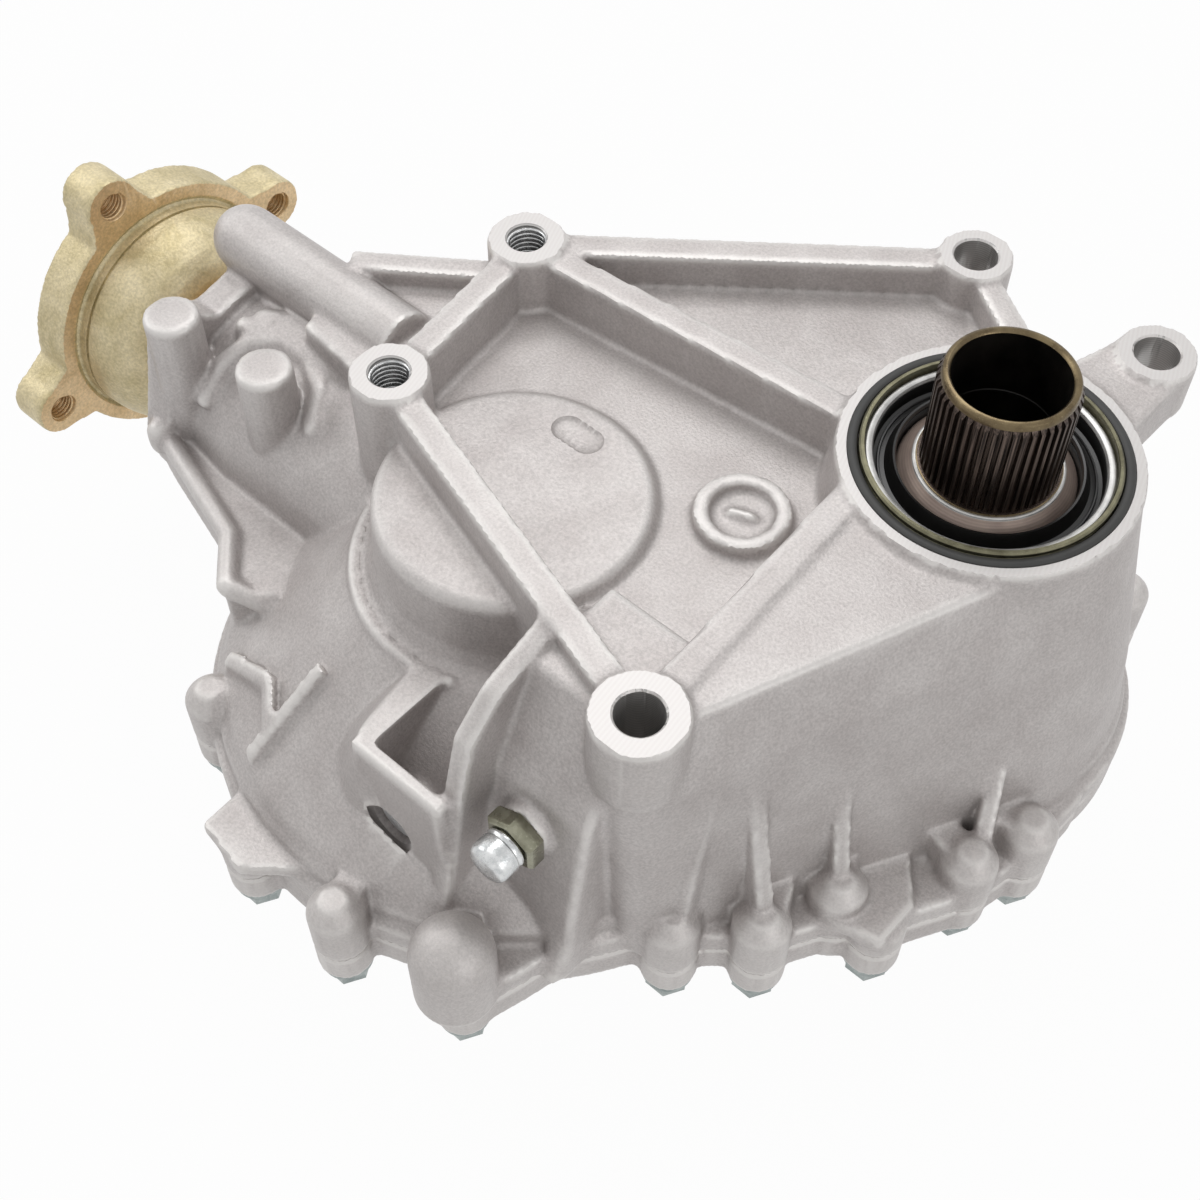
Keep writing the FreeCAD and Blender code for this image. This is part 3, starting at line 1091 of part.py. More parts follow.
def bearing_nodes():
    """Every bearing of the box as cup, cone and roller set."""
    sets = {
        "input_top": rollers_about_z(INPUT_BEARING, INPUT_TOP_BEARING_Z, -1, 0, 0),
        "input_low": rollers_about_z(INPUT_BEARING, INPUT_LOW_BEARING_Z, 1, 0, 0),
        "transfer_top": rollers_about_z(TRANSFER_BEARING, TRANSFER_TOP_BEARING_Z, -1, TRANSFER_X,
                                        TRANSFER_Y),
        "transfer_low": rollers_about_z(TRANSFER_BEARING, TRANSFER_LOW_BEARING_Z, 1, TRANSFER_X,
                                        TRANSFER_Y),
        "pinion_head": rollers_about_x(PINION_HEAD_BEARING, HEAD_BEARING_X, 1),
        "pinion_tail": rollers_about_x(PINION_TAIL_BEARING, TAIL_BEARING_X, -1),
    }
    nodes = {}
    for name, (cup, cone, rollers) in sets.items():
        nodes[name + "_bearing_cup"] = cup
        nodes[name + "_bearing_cone"] = cone
        nodes[name + "_bearing_rollers"] = rollers
    return nodes


def seal_nodes():
    shell_in, lip_in = seal_pair(PILOT_BORE_R, SLEEVE_R, OIL_SEAL_TOP_Z, -1, INPUT_SEAL_WIDTH, turned)
    shell_axle, lip_axle = seal_pair(AXLE_SEAL_R, AXLE_R, BASE_Z, 1, AXLE_SEAL_WIDTH, turned)
    shell_pin, lip_pin = seal_pair(PINION_SEAL_R, FLANGE_HUB_R, MOUTH_X, 1, PINION_SEAL_WIDTH, turned_x)
    return {"input_seal_shell": shell_in, "input_seal_lip": lip_in, "axle_seal_shell": shell_axle,
            "axle_seal_lip": lip_axle, "pinion_seal_shell": shell_pin, "pinion_seal_lip": lip_pin}


def all_nodes():
    nodes = {
        "main_case": main_case(), "rear_cover": rear_cover(), "cover_bolts": cover_bolts(),
        "cover_dowels": dowel_pins(), "face_seal": face_seal(), "pilot_ring": pilot_ring(),
        "input_shaft": input_shaft(), "seal_sleeve": seal_sleeve(), "input_gear": input_gear(),
        "transfer_shaft": transfer_shaft(), "transfer_gear": transfer_gear(), "ring_gear": ring_gear(),
        "ring_gear_bolts": ring_gear_bolts(), "pinion_shaft": pinion(), "output_flange": output_flange(),
        "dust_deflector": dust_deflector(), "pinion_washer": pinion_washer(), "pinion_nut": pinion_nut(),
        "pinion_spacer": pinion_spacer(), "pinion_shim": pinion_shim(), "filler_plug": filler_plug(),
        "drain_plug": drain_plug(), "drain_washer": drain_washer(), "vent_body": vent_body(),
        "vent_cap": vent_cap(),
    }
    nodes.update(seal_nodes())
    nodes.update(bearing_nodes())
    return nodes


if __name__ == "__main__":
    os.makedirs("parts", exist_ok=True)
    for node, shape in all_nodes().items():
        save(node, shape)
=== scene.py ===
import math
import bpy
import bmesh
import numpy as np
from mathutils import Matrix, Vector


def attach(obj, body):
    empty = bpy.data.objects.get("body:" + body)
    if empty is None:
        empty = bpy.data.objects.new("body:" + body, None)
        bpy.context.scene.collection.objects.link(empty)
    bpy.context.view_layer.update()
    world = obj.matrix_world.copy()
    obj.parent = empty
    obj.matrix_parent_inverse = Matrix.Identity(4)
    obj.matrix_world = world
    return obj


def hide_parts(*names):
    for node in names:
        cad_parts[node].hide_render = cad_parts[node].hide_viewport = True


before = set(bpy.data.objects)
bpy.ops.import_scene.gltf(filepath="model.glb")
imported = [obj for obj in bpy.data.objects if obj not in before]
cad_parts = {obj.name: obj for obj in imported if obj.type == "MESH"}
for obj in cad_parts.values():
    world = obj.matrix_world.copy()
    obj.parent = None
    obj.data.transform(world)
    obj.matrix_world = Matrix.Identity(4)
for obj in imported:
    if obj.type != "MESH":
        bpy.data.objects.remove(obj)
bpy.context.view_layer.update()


# Studio: a white paper floor under the hubs of the cover, an even white surround, a large soft
# lamp overhead, so that faces looking up read lighter than the walls, and a weak lamp on each side.

def srgb(code):
    """Linear colour of a #rrggbb value."""
    parts = [int(code[i:i + 2], 16) / 255 for i in (1, 3, 5)]
    return tuple(c / 12.92 if c <= 0.04045 else ((c + 0.055) / 1.055) ** 2.4 for c in parts) + (1.0,)


def feed(tree, node, links):
    """Gives a node's inputs, by name or number, a value each or another node's socket."""
    for key, value in links.items():
        for source in value if isinstance(value, list) else [value]:
            if isinstance(source, bpy.types.NodeSocket):
                tree.links.new(source, node.inputs[key])
            else:
                node.inputs[key].default_value = source


def add(tree, kind, links=None, **settings):
    node = tree.nodes.new(kind)
    for key, value in settings.items():
        setattr(node, key, value)
    feed(tree, node, links or {})
    return node


scene = bpy.context.scene
scene.view_settings.view_transform = "Standard"

world = bpy.data.worlds.new("white_surround")
scene.world = world
world.use_nodes = True
world.node_tree.nodes.clear()
rays = add(world.node_tree, "ShaderNodeLightPath")
seen = add(world.node_tree, "ShaderNodeMath", {
    0: rays.outputs["Is Camera Ray"], 1: rays.outputs["Is Glossy Ray"]}, operation="MAXIMUM")
seen = add(world.node_tree, "ShaderNodeMath", {0: seen.outputs[0], 1: rays.outputs["Is Transmission Ray"]},
           operation="MAXIMUM")
level = add(world.node_tree, "ShaderNodeMapRange", {"Value": seen.outputs[0], "To Min": 0.45, "To Max": 1.0})
glow = add(world.node_tree, "ShaderNodeBackground", {"Color": (1, 1, 1, 1), "Strength": level.outputs[0]})
add(world.node_tree, "ShaderNodeOutputWorld", {"Surface": glow.outputs[0]})

FLOOR_Z = -0.1701
floor_mesh = bpy.data.meshes.new("studio_floor")
floor_mesh.from_pydata([(x, y, FLOOR_Z) for x, y in ((-3, -3), (3, -3), (3, 3), (-3, 3))], [], [(0, 1, 2, 3)])
floor = bpy.data.objects.new("studio_floor", floor_mesh)
scene.collection.objects.link(floor)
paper = bpy.data.materials.new("matt_white_paper")
paper.use_nodes = True
paper_tree = paper.node_tree
paper_tree.nodes.clear()
paper_rays = add(paper_tree, "ShaderNodeLightPath")
paper_seen = add(paper_tree, "ShaderNodeMath", {
    0: paper_rays.outputs["Is Camera Ray"], 1: paper_rays.outputs["Is Glossy Ray"]}, operation="MAXIMUM")
matt = add(paper_tree, "ShaderNodeBsdfDiffuse", {"Color": srgb("#cfcecd")})
white = add(paper_tree, "ShaderNodeEmission", {"Color": (1, 1, 1, 1), "Strength": 1.0})
share = add(paper_tree, "ShaderNodeMath", {0: paper_seen.outputs[0], 1: 0.97}, operation="MULTIPLY")
blend = add(paper_tree, "ShaderNodeMixShader", {0: share.outputs[0], 1: matt.outputs[0], 2: white.outputs[0]})
add(paper_tree, "ShaderNodeOutputMaterial", {"Surface": blend.outputs[0]})
floor_mesh.materials.append(paper)

for lamp_name, place, aim, side, power in (
        ("overhead_softbox", (-0.45, 0.35, 1.05), (-0.08, -0.05, -0.05), 0.7, 5.0),
        ("right_softbox", (1.15, -0.25, 0.35), (-0.08, -0.05, -0.06), 0.5, 1.8),
        ("left_softbox", (-1.1, -0.35, 0.55), (-0.12, -0.08, -0.06), 0.6, 2.2)):
    lamp = bpy.data.lights.new(lamp_name, "AREA")
    lamp.shape = "SQUARE"
    lamp.size = side
    lamp.energy = power
    lamp_object = bpy.data.objects.new(lamp_name, lamp)
    scene.collection.objects.link(lamp_object)
    facing = (Vector(aim) - Vector(place)).to_track_quat("-Z", "Y")
    lamp_object.matrix_world = Matrix.Translation(place) @ facing.to_matrix().to_4x4()


# Camera: fitted to the photograph by the machined face, the rim circles and the flange's circle.
# It looks steeply down past the input shaft to the output flange.

CAMERA_PLACE = (0.12990, -0.31052, 0.36000)
look = Vector((-0.39546, 0.44699, -0.80238)).normalized()
upward = Vector((-0.53403, 0.59886, 0.59681)).normalized()
sideways = look.cross(upward).normalized()
camera_data = bpy.data.cameras.new("camera")
camera_data.lens = 51.72
camera_data.sensor_width = 36.0
camera_data.clip_start = 0.01
camera = bpy.data.objects.new("camera", camera_data)
camera.matrix_world = Matrix.Translation(CAMERA_PLACE) @ Matrix((
    (sideways.x, upward.x, -look.x, 0), (sideways.y, upward.y, -look.y, 0),
    (sideways.z, upward.z, -look.z, 0), (0, 0, 0, 1)))
scene.collection.objects.link(camera)
scene.camera = camera


# Main casing: die-cast aluminium, sand-blasted all over, then milled on the joint, the mouth and
# the face that bolts to the transmission, and bored for its bearings, seals and bolts.

MM = 0.001
WAVE = 2 * math.pi / 20  # scale at which a wave texture has one wave per metre
CASE_GRID = 1.1 * MM
CASE_FILLET_PASSES = 6
CASE_GROWTH = 0.25 * MM
CASE_KEEP = 0.24
TRANSFER_AXIS = (-99.0, -89.0)
PINION_AXIS = (-72.0, -74.0)
RIDGE_R = 42.1
RIDGE_BAR_R = 3.8
FILLER_AXIS = (-77.0, -76.5)
VENT_AXIS = (-52.0, -37.0)
JOINT_Z = -112.0
SEAL_GROOVE_R = 40.03
PILOT_BORE_R = 36.63
INPUT_CUP_R = 40.03
TRANSFER_CUP_R = 36.03
PINION_HEAD_CUP_R = 31.03
PINION_TAIL_CUP_R = 27.53
THROUGH_DRILL_R = 6.75
TAP_DRILL_R = 6.1
BOSSES_THROUGH = ((-49.2, 65.3), (14.0, 65.6), (-16.9, -129.6))
BOSSES_TAPPED = ((-147.6, -89.1), (-157.1, -20.9))


def solid_copy(node_name):
    """A welded copy of a CAD node's mesh, as a new mesh."""
    shell = bmesh.new()
    shell.from_mesh(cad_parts[node_name].data)
    bmesh.ops.remove_doubles(shell, verts=shell.verts, dist=1e-6)
    copy = bpy.data.meshes.new(node_name + "_copy")
    shell.to_mesh(copy)
    shell.free()
    return copy


def piece(name, mesh):
    thing = bpy.data.objects.new(name, mesh)
    scene.collection.objects.link(thing)
    return thing


def applied(thing):
    """Turns an object's modifiers into plain mesh."""
    bpy.context.view_layer.update()
    result = bpy.data.meshes.new_from_object(thing.evaluated_get(bpy.context.evaluated_depsgraph_get()))
    thing.modifiers.clear()
    thing.data = result
    return thing


def rounded_bar(name, path, radius):
    """Round bar along a path of points, with a ball at each point; the cast skin blends it in."""
    shell = bmesh.new()
    spots = [Vector(spot) * MM for spot in path]
    for spot in spots:
        bmesh.ops.create_icosphere(shell, subdivisions=2, radius=radius * MM, matrix=Matrix.Translation(spot))
    for one, two in zip(spots, spots[1:]):
        lean = (two - one).to_track_quat("Z", "Y").to_matrix().to_4x4()
        bmesh.ops.create_cone(shell, cap_ends=True, segments=16, radius1=radius * MM, radius2=radius * MM,
                              depth=(two - one).length, matrix=Matrix.Translation((one + two) / 2) @ lean)
    mesh = bpy.data.meshes.new(name)
    shell.to_mesh(mesh)
    shell.free()
    return mesh


def joined(name, meshes):
    shell = bmesh.new()
    for mesh in meshes:
        shell.from_mesh(mesh)
    result = bpy.data.meshes.new(name)
    shell.to_mesh(result)
    shell.free()
    return result


def cast_skin(name, node_name, grid, passes, growth, keep, beads=()):
    """Copy of a CAD node, with beads cast on, that has the blended fillets of a casting."""
    skin = piece(name, joined(node_name + "_pattern", [solid_copy(node_name)] + list(beads)))
    remesh = skin.modifiers.new("grid", "REMESH")
    remesh.mode = "VOXEL"
    remesh.voxel_size = grid
    blend_pass = skin.modifiers.new("fillets", "SMOOTH")
    blend_pass.factor = 0.5
    blend_pass.iterations = passes
    swell = skin.modifiers.new("growth", "DISPLACE")
    swell.strength = growth
    swell.mid_level = 0.0
    thin = skin.modifiers.new("thinning", "DECIMATE")
    thin.ratio = keep
    return applied(skin)


def lathe(name, profile, axis="Z", centre=(0.0, 0.0), steps=96):
    """Closed turned body from (radius, station) pairs in millimetres, about an axis along Z, X or Y."""
    verts, faces, rings = [], [], []
    for radius, along in profile:
        ring = []
        count = 1 if radius <= 1e-9 else steps
        for k in range(count):
            turn = 2 * math.pi * k / steps
            a, b = centre[0] + radius * math.cos(turn), centre[1] + radius * math.sin(turn)
            spot = {"Z": (a, b, along), "X": (along, a, b), "Y": (b, along, a)}[axis]
            ring.append(len(verts))
            verts.append([c * MM for c in spot])
        rings.append(ring)
    pairs = list(zip(rings, rings[1:] + rings[:1]))
    if profile[0][0] <= 1e-9 and profile[-1][0] <= 1e-9:
        pairs = pairs[:-1]
    for one, two in pairs:
        for k in range(steps):
            corners = [one[k % len(one)], one[(k + 1) % len(one)], two[(k + 1) % len(two)], two[k % len(two)]]
            corners = list(dict.fromkeys(corners))
            if len(corners) > 2:
                faces.append(corners)
    mesh = bpy.data.meshes.new(name)
    mesh.from_pydata(verts, [], faces)
    outward = bmesh.new()
    outward.from_mesh(mesh)
    bmesh.ops.recalc_face_normals(outward, faces=outward.faces)
    outward.to_mesh(mesh)
    outward.free()
    return mesh


def block(name, low, high):
    mesh = bpy.data.meshes.new(name)
    shell = bmesh.new()
    bmesh.ops.create_cube(shell, size=1.0)
    for vert in shell.verts:
        vert.co = [MM * (low[i] + (vert.co[i] + 0.5) * (high[i] - low[i])) for i in range(3)]
    shell.to_mesh(mesh)
    shell.free()
    return mesh


def machine(thing, cutters, operation="DIFFERENCE"):
    """Cuts each tool's mesh out of a piece, one after the other, or builds it on with UNION."""
    tools = []
    for k, cutter in enumerate(cutters):
        tool = piece("tool_%d" % k, cutter)
        cut = thing.modifiers.new("cut_%d" % k, "BOOLEAN")
        cut.operation = operation
        cut.solver = "MANIFOLD"
        cut.object = tool
        tools.append(tool)
    applied(thing)
    for tool in tools:
        bpy.data.objects.remove(tool)
    return thing


def mark_ridges(mesh):
    """Stores how sharply the surface bends outwards at each vertex, from -1 in a groove to 1 on an edge."""
    count = len(mesh.vertices)
    spots = np.empty(count * 3)
    mesh.vertices.foreach_get("co", spots)
    spots = spots.reshape(-1, 3)
    lean = np.empty(count * 3)
    mesh.vertex_normals.foreach_get("vector", lean)
    lean = lean.reshape(-1, 3)
    ends = np.empty(len(mesh.edges) * 2, dtype=np.int64)
    mesh.edges.foreach_get("vertices", ends)
    ends = ends.reshape(-1, 2)
    step = spots[ends[:, 1]] - spots[ends[:, 0]]
    bend = ((lean[ends[:, 1]] - lean[ends[:, 0]]) * step).sum(1) / np.maximum((step ** 2).sum(1), 1e-10)
    total = np.zeros(count)
    shares = np.zeros(count)
    for side in (0, 1):
        np.add.at(total, ends[:, side], bend)
        np.add.at(shares, ends[:, side], 1.0)
    mean = total / np.maximum(shares, 1)
    for _ in range(2):
        around = np.zeros(count)
        for side in (0, 1):
            np.add.at(around, ends[:, side], mean[ends[:, 1 - side]])
        mean = 0.5 * mean + 0.5 * around / np.maximum(shares, 1)
    fillet_bend = 300.0
    layer = mesh.attributes.new("ridge", "FLOAT", "POINT")
    layer.data.foreach_set("value", np.clip(mean / fillet_bend, -1, 1).astype(np.float32))


def blank_surface(name):
    """A new material, its node tree and surface node, and the coordinates its patterns are drawn on."""
    stuff = bpy.data.materials.new(name)
    stuff.use_nodes = True
    tree = stuff.node_tree
    tree.nodes.clear()
    surface = add(tree, "ShaderNodeBsdfPrincipled")
    add(tree, "ShaderNodeOutputMaterial", {"Surface": surface.outputs[0]})
    return stuff, tree, surface, add(tree, "ShaderNodeTexCoord").outputs["Object"]


def cast_aluminium():
    """Sand-blasted die-cast aluminium: a matt warm grey with a fine grain, with a painted highlight along its
    ridges and painted shade in its grooves.
    """
    stuff, tree, surface, place = blank_surface("sand_blasted_aluminium")
    # blasting grit leaves dents of about 0.3 mm; drawn at 0.9 mm so that the grain shows at this distance
    grain = add(tree, "ShaderNodeTexNoise", {
        "Vector": place, "Scale": 1 / (0.9 * MM), "Detail": 3.0, "Roughness": 0.65})
    # flow marks and stains of the casting, 18 mm apart
    cloud = add(tree, "ShaderNodeTexNoise", {
        "Vector": place, "Scale": 1 / (18 * MM), "Detail": 3.0, "Roughness": 0.55, "Distortion": 0.4})
    tone = add(tree, "ShaderNodeMapRange", {"Value": cloud.outputs["Fac"], "From Min": 0.3, "From Max": 0.7})
    base = add(tree, "ShaderNodeMix", {
        0: tone.outputs[0], 6: srgb("#b9b3b1"), 7: srgb("#c6c1bf")}, data_type="RGBA")
    speck = add(tree, "ShaderNodeMapRange", {
        "Value": grain.outputs["Fac"], "From Min": 0.35, "From Max": 0.65, "To Min": 0.86, "To Max": 1.09})
    grainy = add(tree, "ShaderNodeMix", {0: 1.0, 6: base.outputs[2], 7: speck.outputs[0]}, data_type="RGBA",
                 blend_type="MULTIPLY")
    # painted highlight: ridges and edges are painted paler, towards #e6e3e0
    ridge = add(tree, "ShaderNodeAttribute", attribute_name="ridge")
    wear_and_painted_highlight = add(tree, "ShaderNodeMapRange", {
        "Value": ridge.outputs["Fac"], "From Min": 0.08, "From Max": 0.7, "To Min": 0.0, "To Max": 0.75})
    bright = add(tree, "ShaderNodeMix", {0: wear_and_painted_highlight.outputs[0], 6: grainy.outputs[2], 7: srgb("#e6e3e0")},
                 data_type="RGBA")
    # painted shade: grooves and hollows are painted darker, towards #8d8986
    painted_groove_shade = add(tree, "ShaderNodeMapRange", {
        "Value": ridge.outputs["Fac"], "From Min": -0.15, "From Max": -0.9, "To Min": 0.0, "To Max": 0.35})
    shaded = add(tree, "ShaderNodeMix", {0: painted_groove_shade.outputs[0], 6: bright.outputs[2], 7: srgb("#8d8986")},
                 data_type="RGBA")
    dents = add(tree, "ShaderNodeBump", {
        "Strength": 0.5, "Distance": 0.3 * MM, "Height": grain.outputs["Fac"]})
    feed(tree, surface, {"Base Color": shaded.outputs[2], "Metallic": 0.5, "Roughness": 0.5,
                         "Normal": dents.outputs[0]})
    return stuff


def milled_aluminium():
    """Face-milled aluminium: near white, with the faint arcs of a fly cutter."""
    stuff, tree, surface, place = blank_surface("milled_aluminium")
    # cutter marks 0.5 mm apart, drawn 1.2 mm apart
    sweep = add(tree, "ShaderNodeMapping", {"Vector": place, "Location": (0.6, 0.2, 0.0)})
    arcs = add(tree, "ShaderNodeTexWave", {
        "Vector": sweep.outputs[0], "Scale": WAVE / (1.2 * MM), "Distortion": 0.6, "Detail": 2.0},
        wave_type="RINGS", rings_direction="Z")
    tint = add(tree, "ShaderNodeMix", {0: arcs.outputs["Fac"], 6: srgb("#d3cfcd"), 7: srgb("#d7d4d2")},
               data_type="RGBA")
    marks = add(tree, "ShaderNodeBump", {
        "Strength": 0.02, "Distance": 0.02 * MM, "Height": arcs.outputs["Fac"]})
    feed(tree, surface, {"Base Color": tint.outputs[2], "Metallic": 0.35, "Roughness": 0.45,
                         "Normal": marks.outputs[0]})
    return stuff


def bored_aluminium():
    """Bored aluminium in the shade of a hole: darker, ringed by the boring tool."""
    stuff, tree, surface, place = blank_surface("bored_aluminium")
    # tool rings 0.3 mm apart, drawn at 0.8 mm
    rings = add(tree, "ShaderNodeTexWave", {"Vector": place, "Scale": WAVE / (0.8 * MM)},
                wave_type="BANDS", bands_direction="Z")
    tint = add(tree, "ShaderNodeMix", {0: rings.outputs["Fac"], 6: srgb("#a9a7a5"), 7: srgb("#c3c1bf")},
               data_type="RGBA")
    feed(tree, surface, {"Base Color": tint.outputs[2], "Metallic": 0.7, "Roughness": 0.38})
    return stuff


def countersunk(spots, depth, radius, chamfer):
    """Drills with a chamfering shoulder that starts in the milled face."""
    return [lathe("drill", [(0, -depth), (radius, -depth), (radius, -chamfer), (radius + chamfer + 0.5, 0.5),
                            (0, 0.5)], "Z", spot, 56) for spot in spots]


sand_blasted = cast_aluminium()
milled = milled_aluminium()
bored = bored_aluminium()

skirt_bead = rounded_bar("skirt_bead", [
    (-238, -115.5, -69), (-231, -118, -69), (-187, -131, -69), (-172, -145, -69), (-158, -138, -76)], 3.2)
skirt_knob = rounded_bar("skirt_knob", [(-236, -117.5, -66.5), (-236, -117.5, -72)], 4.6)


def on_housing(radius, spots):
    """Points of a cylinder about the pinion's axis, above the given x and y."""
    return [(x, y, PINION_AXIS[1] + math.sqrt(radius ** 2 - (y - PINION_AXIS[0]) ** 2)) for x, y in spots]


# both stay 0.3 mm clear of the gear room, which is 38 mm round about the pinion's axis
stub_ridge = rounded_bar("stub_ridge", on_housing(RIDGE_R, (
    (-221, -106), (-220, -97), (-216, -88), (-207, -82), (-194, -82), (-184, -88), (-178, -97))), RIDGE_BAR_R)
gallery_foot = rounded_bar("gallery_foot", on_housing(RIDGE_R, (
    (-222, -85), (-215, -84), (-210, -80), (-179, -80), (-179, -76), (-212, -76), (-219, -80),
    (-215, -84))), RIDGE_BAR_R)
shoulder_turns = [math.radians(angle) for angle in range(195, 291, 5)]
shoulder_bead = rounded_bar("shoulder_bead", [
    (TRANSFER_AXIS[0] + 48.6 * math.cos(turn), TRANSFER_AXIS[1] + 48.6 * math.sin(turn), -45.2)
    for turn in shoulder_turns], 1.9)
casing = cast_skin("main_casing", "main_case", CASE_GRID, CASE_FILLET_PASSES, CASE_GROWTH, CASE_KEEP,
                   (skirt_bead, skirt_knob, stub_ridge, gallery_foot, shoulder_bead))
# the oval hollow in the disc, cut by four overlapping rounds
disc_hollow = [lathe("disc_hollow", [
    (0, -16.9), (3.6, -16.85), (4.5, -16.4), (5.3, -15.4), (5.3, -13), (0, -13)], "Z", (x, -60.5), 48)
    for x in (-104.0, -101.5, -99.0, -96.5)]

input_bores = lathe("input_bores", [
    (0, 1), (SEAL_GROOVE_R, 1), (SEAL_GROOVE_R, -3), (PILOT_BORE_R, -3), (PILOT_BORE_R, -18), (32.6, -18),
    (32.6, -24), (INPUT_CUP_R, -24), (INPUT_CUP_R, -46), (0, -46)], steps=180)
transfer_bore = lathe("transfer_bore", [
    (0, -24), (TRANSFER_CUP_R, -24), (TRANSFER_CUP_R, -44), (0, -44)], "Z", TRANSFER_AXIS)
pinion_bores = lathe("pinion_bores", [
    (0, -246), (PINION_HEAD_CUP_R, -246), (PINION_HEAD_CUP_R, -235.5), (PINION_TAIL_CUP_R, -235.5),
    (PINION_TAIL_CUP_R, -216), (24.5, -216), (24.5, -210.5), (PINION_HEAD_CUP_R, -210.5),
    (PINION_HEAD_CUP_R, -188), (0, -188)], "X", PINION_AXIS)
mouth_face = lathe("mouth_face", [(0, -250), (37.5, -250), (37.5, -244), (0, -244)], "X", PINION_AXIS)
joint_face = [lathe("joint_round", [
    (0, -122), (106, -122), (106, JOINT_Z), (0, JOINT_Z)], "Z", TRANSFER_AXIS),
    block("joint_rest", (-90, -215, -122), (100, 100, JOINT_Z))]
filler_bore = lathe("filler_bore", [
    (0, -169.5), (8.9, -169.5), (8.9, -168.3), (7.6, -167), (7.6, -142), (0, -142)], "Y", FILLER_AXIS, 56)
vent_bore = lathe("vent_bore", [(0, -170), (4.1, -170), (4.1, -138), (0, -138)], "Y", VENT_AXIS, 40)
# stock left round the seal's groove, so that the groove is cut with a crisp edge
rim_stock = lathe("rim_stock", [(38.0, -3.6), (41.3, -3.6), (41.3, 2.0), (38.0, 2.0)], steps=180)
machine(casing, [rim_stock], "UNION")
face_mill = block("face_mill", (-300, -250, 0), (120, 120, 30))
drills = [joined("clearance_drills", countersunk(BOSSES_THROUGH, 30, THROUGH_DRILL_R, 0.6)),
          joined("tap_drills", countersunk(BOSSES_TAPPED, 24, TAP_DRILL_R, 0.5))]
machine(casing, [face_mill, input_bores, transfer_bore, pinion_bores, mouth_face] + joint_face + disc_hollow +
        [filler_bore, vent_bore] + drills)


def paint_machined(mesh, tests):
    """Gives each face the number of the first test that its centre and normal pass."""
    count = len(mesh.polygons)
    centres = np.empty(count * 3)
    mesh.polygons.foreach_get("center", centres)
    centres = centres.reshape(-1, 3) / MM
    leans = np.empty(count * 3)
    mesh.polygons.foreach_get("normal", leans)
    leans = leans.reshape(-1, 3)
    slots = np.zeros(count, dtype=np.int32)
    for number, test in tests:
        slots[(slots == 0) & test(centres, leans)] = number
    mesh.polygons.foreach_set("material_index", slots)


def from_axis(c, centre, axes=(0, 1)):
    """Distance of each face centre from an axis."""
    return np.hypot(c[:, axes[0]] - centre[0], c[:, axes[1]] - centre[1])


def within(c, centre, radius, axes=(0, 1)):
    return from_axis(c, centre, axes) < radius


def round_hole(centre, radius, axes=(0, 1), reach=0.25):
    """Test for the faces of a bore's wall."""
    return lambda c, n: np.abs(from_axis(c, centre, axes) - radius) < reach


def any_of(tests):
    return lambda c, n: np.any([test(c, n) for test in tests], axis=0)


casing.data.materials.clear()
for stuff in (sand_blasted, milled, bored):
    casing.data.materials.append(stuff)
mark_ridges(casing.data)
paint_machined(casing.data, [
    (1, lambda c, n: (c[:, 2] > -0.05) & (n[:, 2] > 0.9)),
    (2, any_of([round_hole(spot, THROUGH_DRILL_R) for spot in BOSSES_THROUGH])),
    (2, any_of([round_hole(spot, TAP_DRILL_R) for spot in BOSSES_TAPPED])),
    (2, round_hole((0, 0), PILOT_BORE_R)), (2, round_hole((0, 0), SEAL_GROOVE_R)),
    (1, lambda c, n: within(c, BOSSES_THROUGH[0], 8) & (c[:, 2] > -1)),
    (1, lambda c, n: within(c, PINION_AXIS, 37, (1, 2)) & (c[:, 0] < -243.9)),
    (1, lambda c, n: (n[:, 2] < -0.9) & (c[:, 2] < JOINT_Z + 0.05) & (c[:, 2] > JOINT_Z - 0.05)),
])


def shade_casting(mesh):
    """Smooth shading for the cast skin and the bores, flat shading for the milled faces."""
    mesh.shade_smooth()
    sharp_bend = math.radians(38)
    mesh.set_sharp_from_angle(angle=sharp_bend)
    numbers = np.empty(len(mesh.polygons), dtype=np.int32)
    mesh.polygons.foreach_get("material_index", numbers)
    mesh.polygons.foreach_set("use_smooth", numbers != 1)


shade_casting(casing.data)
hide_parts("main_case")
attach(casing, "casing")


# Rear cover: die-cast aluminium like the casing, milled on the joint and on the feet of its two
# hubs, and bored for the lower bearings, the axle seal, the drain plug and the bolts.

def island_centres(node_name):
    """Middle of every loose body in a CAD node, in millimetres."""
    shell = bmesh.new()
    shell.from_mesh(solid_copy(node_name))
    left, middles = set(shell.verts), []
    while left:
        front, group = [left.pop()], []
        while front:
            vert = front.pop()
            group.append(vert.co.copy())
            for edge in vert.link_edges:
                other = edge.other_vert(vert)
                if other in left:
                    left.remove(other)
                    front.append(other)
        sides = [(min(c[i] for c in group), max(c[i] for c in group)) for i in range(3)]
        middles.append(tuple(sum(side) / 2 / MM for side in sides))
    shell.free()
    return sorted(middles)


COVER_BOLT_PLACES = [spot[:2] for spot in island_centres("cover_bolts")]
COVER_KEEP = 0.2
BOLT_SEAT_Z = -124.0
BOLT_SEAT_R = 9.0
HUB_FOOT_Z = -170.0
LOW_CUP_R = 27.03
DRAIN_AXIS = (-52.0, -40.0)
cover = cast_skin("rear_cover_casting", "rear_cover", CASE_GRID, CASE_FILLET_PASSES, CASE_GROWTH, COVER_KEEP)


def bolt_seat(spot):
    """Test for the spot-faced ring under a bolt's washer."""
    return lambda c, n: within(c, spot, BOLT_SEAT_R - 0.05) & (np.abs(c[:, 2] - BOLT_SEAT_Z) < 0.1)


